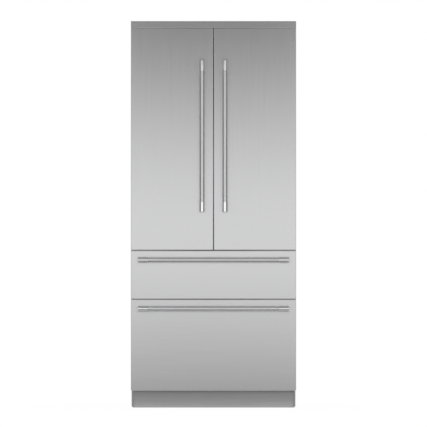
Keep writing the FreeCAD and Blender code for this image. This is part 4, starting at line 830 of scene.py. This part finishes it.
# %% [markdown]
# ## The studio diffuser
# Flat steel shows whatever stands in front of it, so the studio is built as a photographer builds it for
# metal: a tall curved diffuser in front, whose middle is brightest at about waist height and fades towards
# its top and foot. Only the flat fronts see that middle. To each side of it the cloth is evenly bright,
# which draws the highlight on the round bars, and further round it is dark, which draws their edges. The
# brightness is a smooth formula of height and of the turn round the object.

# %% Diffuser shape
FRONT_Y = float(node_box("left_door_panel")[0][1])
SCREEN_RADIUS, SCREEN_TOP, SCREEN_TURN = 2.5, 3.6, np.radians(105)
SCREEN_COLUMNS, SCREEN_ROWS = 65, 30
turns = np.linspace(-SCREEN_TURN, SCREEN_TURN, SCREEN_COLUMNS)
turn, rise = np.meshgrid(turns, np.linspace(0.0, SCREEN_TOP, SCREEN_ROWS), indexing="ij")
screen_y = FRONT_Y - SCREEN_RADIUS * np.cos(turn)
screen_points = np.stack([SCREEN_RADIUS * np.sin(turn), screen_y, rise], axis=-1)
print("diffuser grid", screen_points.shape[:2])

# %% Brightness as nodes
GLOW_LEAST, GLOW_GAIN, GLOW_HEIGHT, GLOW_SPREAD = 0.05, 1.035, 0.968, 1.037


def bell(tree, source, middle, spread):
    """exp(-((source - middle) / spread) ** 2), as Math nodes."""
    away = add(tree, "ShaderNodeMath", {0: source, 1: middle}, operation="SUBTRACT").outputs[0]
    scaled = add(tree, "ShaderNodeMath", {0: away, 1: spread}, operation="DIVIDE").outputs[0]
    square = add(tree, "ShaderNodeMath", {0: scaled, 1: scaled}, operation="MULTIPLY").outputs[0]
    fall = add(tree, "ShaderNodeMath", {0: square, 1: -1.0}, operation="MULTIPLY").outputs[0]
    return add(tree, "ShaderNodeMath", {0: fall}, operation="EXPONENT").outputs[0]


def height_glow(tree, height):
    """Least brightness plus a bell round GLOW_HEIGHT."""
    upward = bell(tree, height, GLOW_HEIGHT, GLOW_SPREAD)
    most = GLOW_LEAST + GLOW_GAIN
    return add(tree, "ShaderNodeMapRange", {"Value": upward}, To_Min=GLOW_LEAST, To_Max=most).outputs[0]


def ahead_of_front(tree):
    """The Object coordinates' axes, and the distance in front of the doors."""
    place = add(tree, "ShaderNodeTexCoord")
    axes = add(tree, "ShaderNodeSeparateXYZ", {"Vector": place.outputs["Object"]})
    ahead = add(tree, "ShaderNodeMath", {0: FRONT_Y, 1: axes.outputs["Y"]}, operation="SUBTRACT")
    return axes, ahead.outputs[0]


def glowing(tree, strength):
    """Ends a material with plain white emission of the given strength."""
    lamp = add(tree, "ShaderNodeEmission", {"Strength": strength})
    add(tree, "ShaderNodeOutputMaterial", {"Surface": lamp.outputs["Emission"]})


# %% Diffuser
SIDE_GLOW, SIDE_TURNS = 1.1, {"From_Min": np.radians(18), "From_Max": np.radians(23)}
DARK_GLOW, DARK_TURNS = 0.2, {"From_Min": np.radians(42), "From_Max": np.radians(52)}


def stage_piece(name, points, material):
    """A studio surface on an open grid of points, which is not part of the object."""
    surface = bpy.data.objects.new(name, mesh_of(name, [shell(points, ring_closed=False, caps=False)]))
    surface.data.materials.append(material)
    bpy.context.scene.collection.objects.link(surface)
    print(name, "in the studio")
    return surface


diffuser_cloth, tree = empty_material("diffuser_cloth")
axes, ahead = ahead_of_front(tree)
aside = add(tree, "ShaderNodeMath", {0: axes.outputs["X"]}, operation="ABSOLUTE").outputs[0]
angle = add(tree, "ShaderNodeMath", {0: aside, 1: ahead}, operation="ARCTAN2").outputs[0]
glow = height_glow(tree, axes.outputs["Z"])
for level, turned in ((SIDE_GLOW, SIDE_TURNS), (DARK_GLOW, DARK_TURNS)):
    share = add(tree, "ShaderNodeMapRange", {"Value": angle}, interpolation_type="SMOOTHSTEP", **turned)
    glow = add(tree, "ShaderNodeMix", {"Factor": share.outputs[0], "A": glow, "B": level}).outputs[0]
glowing(tree, glow)
screen = stage_piece("front_diffuser", screen_points, diffuser_cloth)

# %% [markdown]
# ## Cards for reflections
# A grey card lies on the floor and another hangs overhead, because the lowest drawer and the level bars
# mirror them. The floor card goes on where the diffuser ends: its brightness is the diffuser's formula at a
# height that sinks slowly below zero on the way to the object, so the mirrored picture has no step. Close to
# the object it darkens into painted shade, like the shade on a floor under a front. The overhead card is one
# plain grey. The diffuser and both cards serve reflections alone. They are hidden from the camera and light
# no matte surface, which is left to the world.

# %% Floor card
FLOOR_FALL, NEAR_SHADE_GLOW, NEAR_FROM, NEAR_TO = 0.048, 0.2, 0.5, 0.9
CARD_NEAR, CARD_HALF, CARD_SHORT, CARD_LIFT = 0.12, 1.6, 0.05, 3 * MM
CARD_COLUMNS, CARD_ROWS = 3, 12


def level_sheet(xs, ys, z):
    """A level sheet on a grid of x and y places."""
    x, y = np.meshgrid(xs, ys, indexing="ij")
    return np.stack([x, y, np.full_like(x, z)], axis=-1)


floor_grey, tree = empty_material("grey_floor_card")
_, ahead = ahead_of_front(tree)
short = add(tree, "ShaderNodeMath", {0: ahead, 1: SCREEN_RADIUS}, operation="SUBTRACT").outputs[0]
below = add(tree, "ShaderNodeMath", {0: short, 1: FLOOR_FALL}, operation="MULTIPLY").outputs[0]
# Close to the fronts the card fades to a dim grey: painted shade, as on a floor under a front.
far = add(tree, "ShaderNodeMapRange", {"Value": ahead}, From_Min=NEAR_FROM, From_Max=NEAR_TO)
levels = {"Factor": far.outputs[0], "A": NEAR_SHADE_GLOW, "B": height_glow(tree, below)}
glowing(tree, add(tree, "ShaderNodeMix", levels).outputs[0])
card_xs = np.linspace(-CARD_HALF, CARD_HALF, CARD_COLUMNS)
card_ys = FRONT_Y - np.linspace(CARD_NEAR, SCREEN_RADIUS - CARD_SHORT, CARD_ROWS)
floor_card = stage_piece("floor_card", level_sheet(card_xs, card_ys, CARD_LIFT), floor_grey)

# %% Overhead card
OVERHEAD_GLOW, OVERHEAD_HALF, OVERHEAD_BACK = 0.38, 4.0, 2.0
OVERHEAD_COLUMNS, OVERHEAD_ROWS = 3, 4
overhead_grey, tree = empty_material("grey_overhead_card")
glowing(tree, OVERHEAD_GLOW)
overhead_xs = np.linspace(-OVERHEAD_HALF, OVERHEAD_HALF, OVERHEAD_COLUMNS)
overhead_ys = np.linspace(FRONT_Y - SCREEN_RADIUS, FRONT_Y + OVERHEAD_BACK, OVERHEAD_ROWS)
overhead_sheet = level_sheet(overhead_xs, overhead_ys, SCREEN_TOP)
overhead_card = stage_piece("overhead_card", overhead_sheet, overhead_grey)

# %% Reflections only
for surface in (screen, floor_card, overhead_card):
    surface.visible_camera = False
    surface.visible_diffuse = False
    surface.visible_shadow = False
    surface.visible_transmission = False
    print(surface.name, "is seen by reflections only")

# %% [markdown]
# ## Floor and world
# The floor is pale and matte. To the camera, to mirrors and through glass it is almost pure white, which
# gives the plain white background, while a share of its real shading keeps the object's shadow. The world is
# white in the same way, and lights surfaces a little below full strength.

# %% Floor
FLOOR_TONE, FLOOR_WHITE, FLOOR_SHARE = "#F2F2F2", 1.03, 0.9
FLOOR_HALF, FLOOR_DROP, FLOOR_COLUMNS = 90.0, 0.5 * MM, 3


def seen_directly(tree):
    """1 for rays from the camera, from a reflection or through glass, and 0 for light on surfaces."""
    path = add(tree, "ShaderNodeLightPath")
    mirror = {0: path.outputs["Is Camera Ray"], 1: path.outputs["Is Glossy Ray"]}
    first = add(tree, "ShaderNodeMath", mirror, operation="MAXIMUM").outputs[0]
    through = {0: first, 1: path.outputs["Is Transmission Ray"]}
    return add(tree, "ShaderNodeMath", through, operation="MAXIMUM").outputs[0]


pale_floor, tree = empty_material("pale_floor")
matte = add(tree, "ShaderNodeBsdfDiffuse", Color=linear(FLOOR_TONE))
white = add(tree, "ShaderNodeEmission", Strength=FLOOR_WHITE)
share = add(tree, "ShaderNodeMath", {0: seen_directly(tree), 1: FLOOR_SHARE}, operation="MULTIPLY")
mixed = add(tree, "ShaderNodeMixShader", {0: share.outputs[0], 1: matte.outputs[0], 2: white.outputs[0]})
add(tree, "ShaderNodeOutputMaterial", {"Surface": mixed.outputs[0]})
span = np.linspace(-FLOOR_HALF, FLOOR_HALF, FLOOR_COLUMNS)
stage_piece("studio_floor", level_sheet(span, span, -FLOOR_DROP), pale_floor)

# %% World
WORLD_WHITE, WORLD_SEEN, WORLD_FILL = linear("#FFFFFF"), 1.0, 0.85
world = bpy.data.worlds.new("white_studio")
world.use_nodes = True
tree = world.node_tree
tree.nodes.clear()
backdrop = add(tree, "ShaderNodeBackground", Color=WORLD_WHITE, Strength=WORLD_SEEN)
fill = add(tree, "ShaderNodeBackground", Color=WORLD_WHITE, Strength=WORLD_FILL)
shaders = {0: seen_directly(tree), 1: fill.outputs[0], 2: backdrop.outputs[0]}
chosen = add(tree, "ShaderNodeMixShader", shaders)
add(tree, "ShaderNodeOutputWorld", {"Surface": chosen.outputs[0]})
bpy.context.scene.world = world
print(world.name, "lights surfaces at", WORLD_FILL)

# %% [markdown]
# ## Camera
# The photograph is nearly flat: uprights stay upright, neither the top nor the sides show, and even the
# recessed kick plate reaches down to where the fronts' own feet would be. A very long lens from sixty metres
# at mid-height gives that view. The lens length follows from the width that has to fit in the frame.

# %% Camera
VIEW_DISTANCE, VIEW_HEIGHT, FRAME_WIDTH, SENSOR = 60.0, 1.068, 2.346, 36.0
lens_data = bpy.data.cameras.new("front_camera")
lens_data.sensor_width = SENSOR
lens_data.sensor_fit = "HORIZONTAL"
lens_data.lens = SENSOR * VIEW_DISTANCE / FRAME_WIDTH
camera = bpy.data.objects.new("front_camera", lens_data)
camera.location = (0.0, FRONT_Y - VIEW_DISTANCE, VIEW_HEIGHT)
camera.rotation_euler = (np.pi / 2, 0.0, 0.0)
bpy.context.scene.collection.objects.link(camera)
bpy.context.scene.camera = camera
bpy.context.scene.view_settings.view_transform = "Standard"
print("camera lens", round(lens_data.lens, 1), "mm")

# %% Nodes without a finish
undressed = [name for name, node in nodes.items() if len(node.data.materials) != 1]
print("nodes without a finish:", undressed)
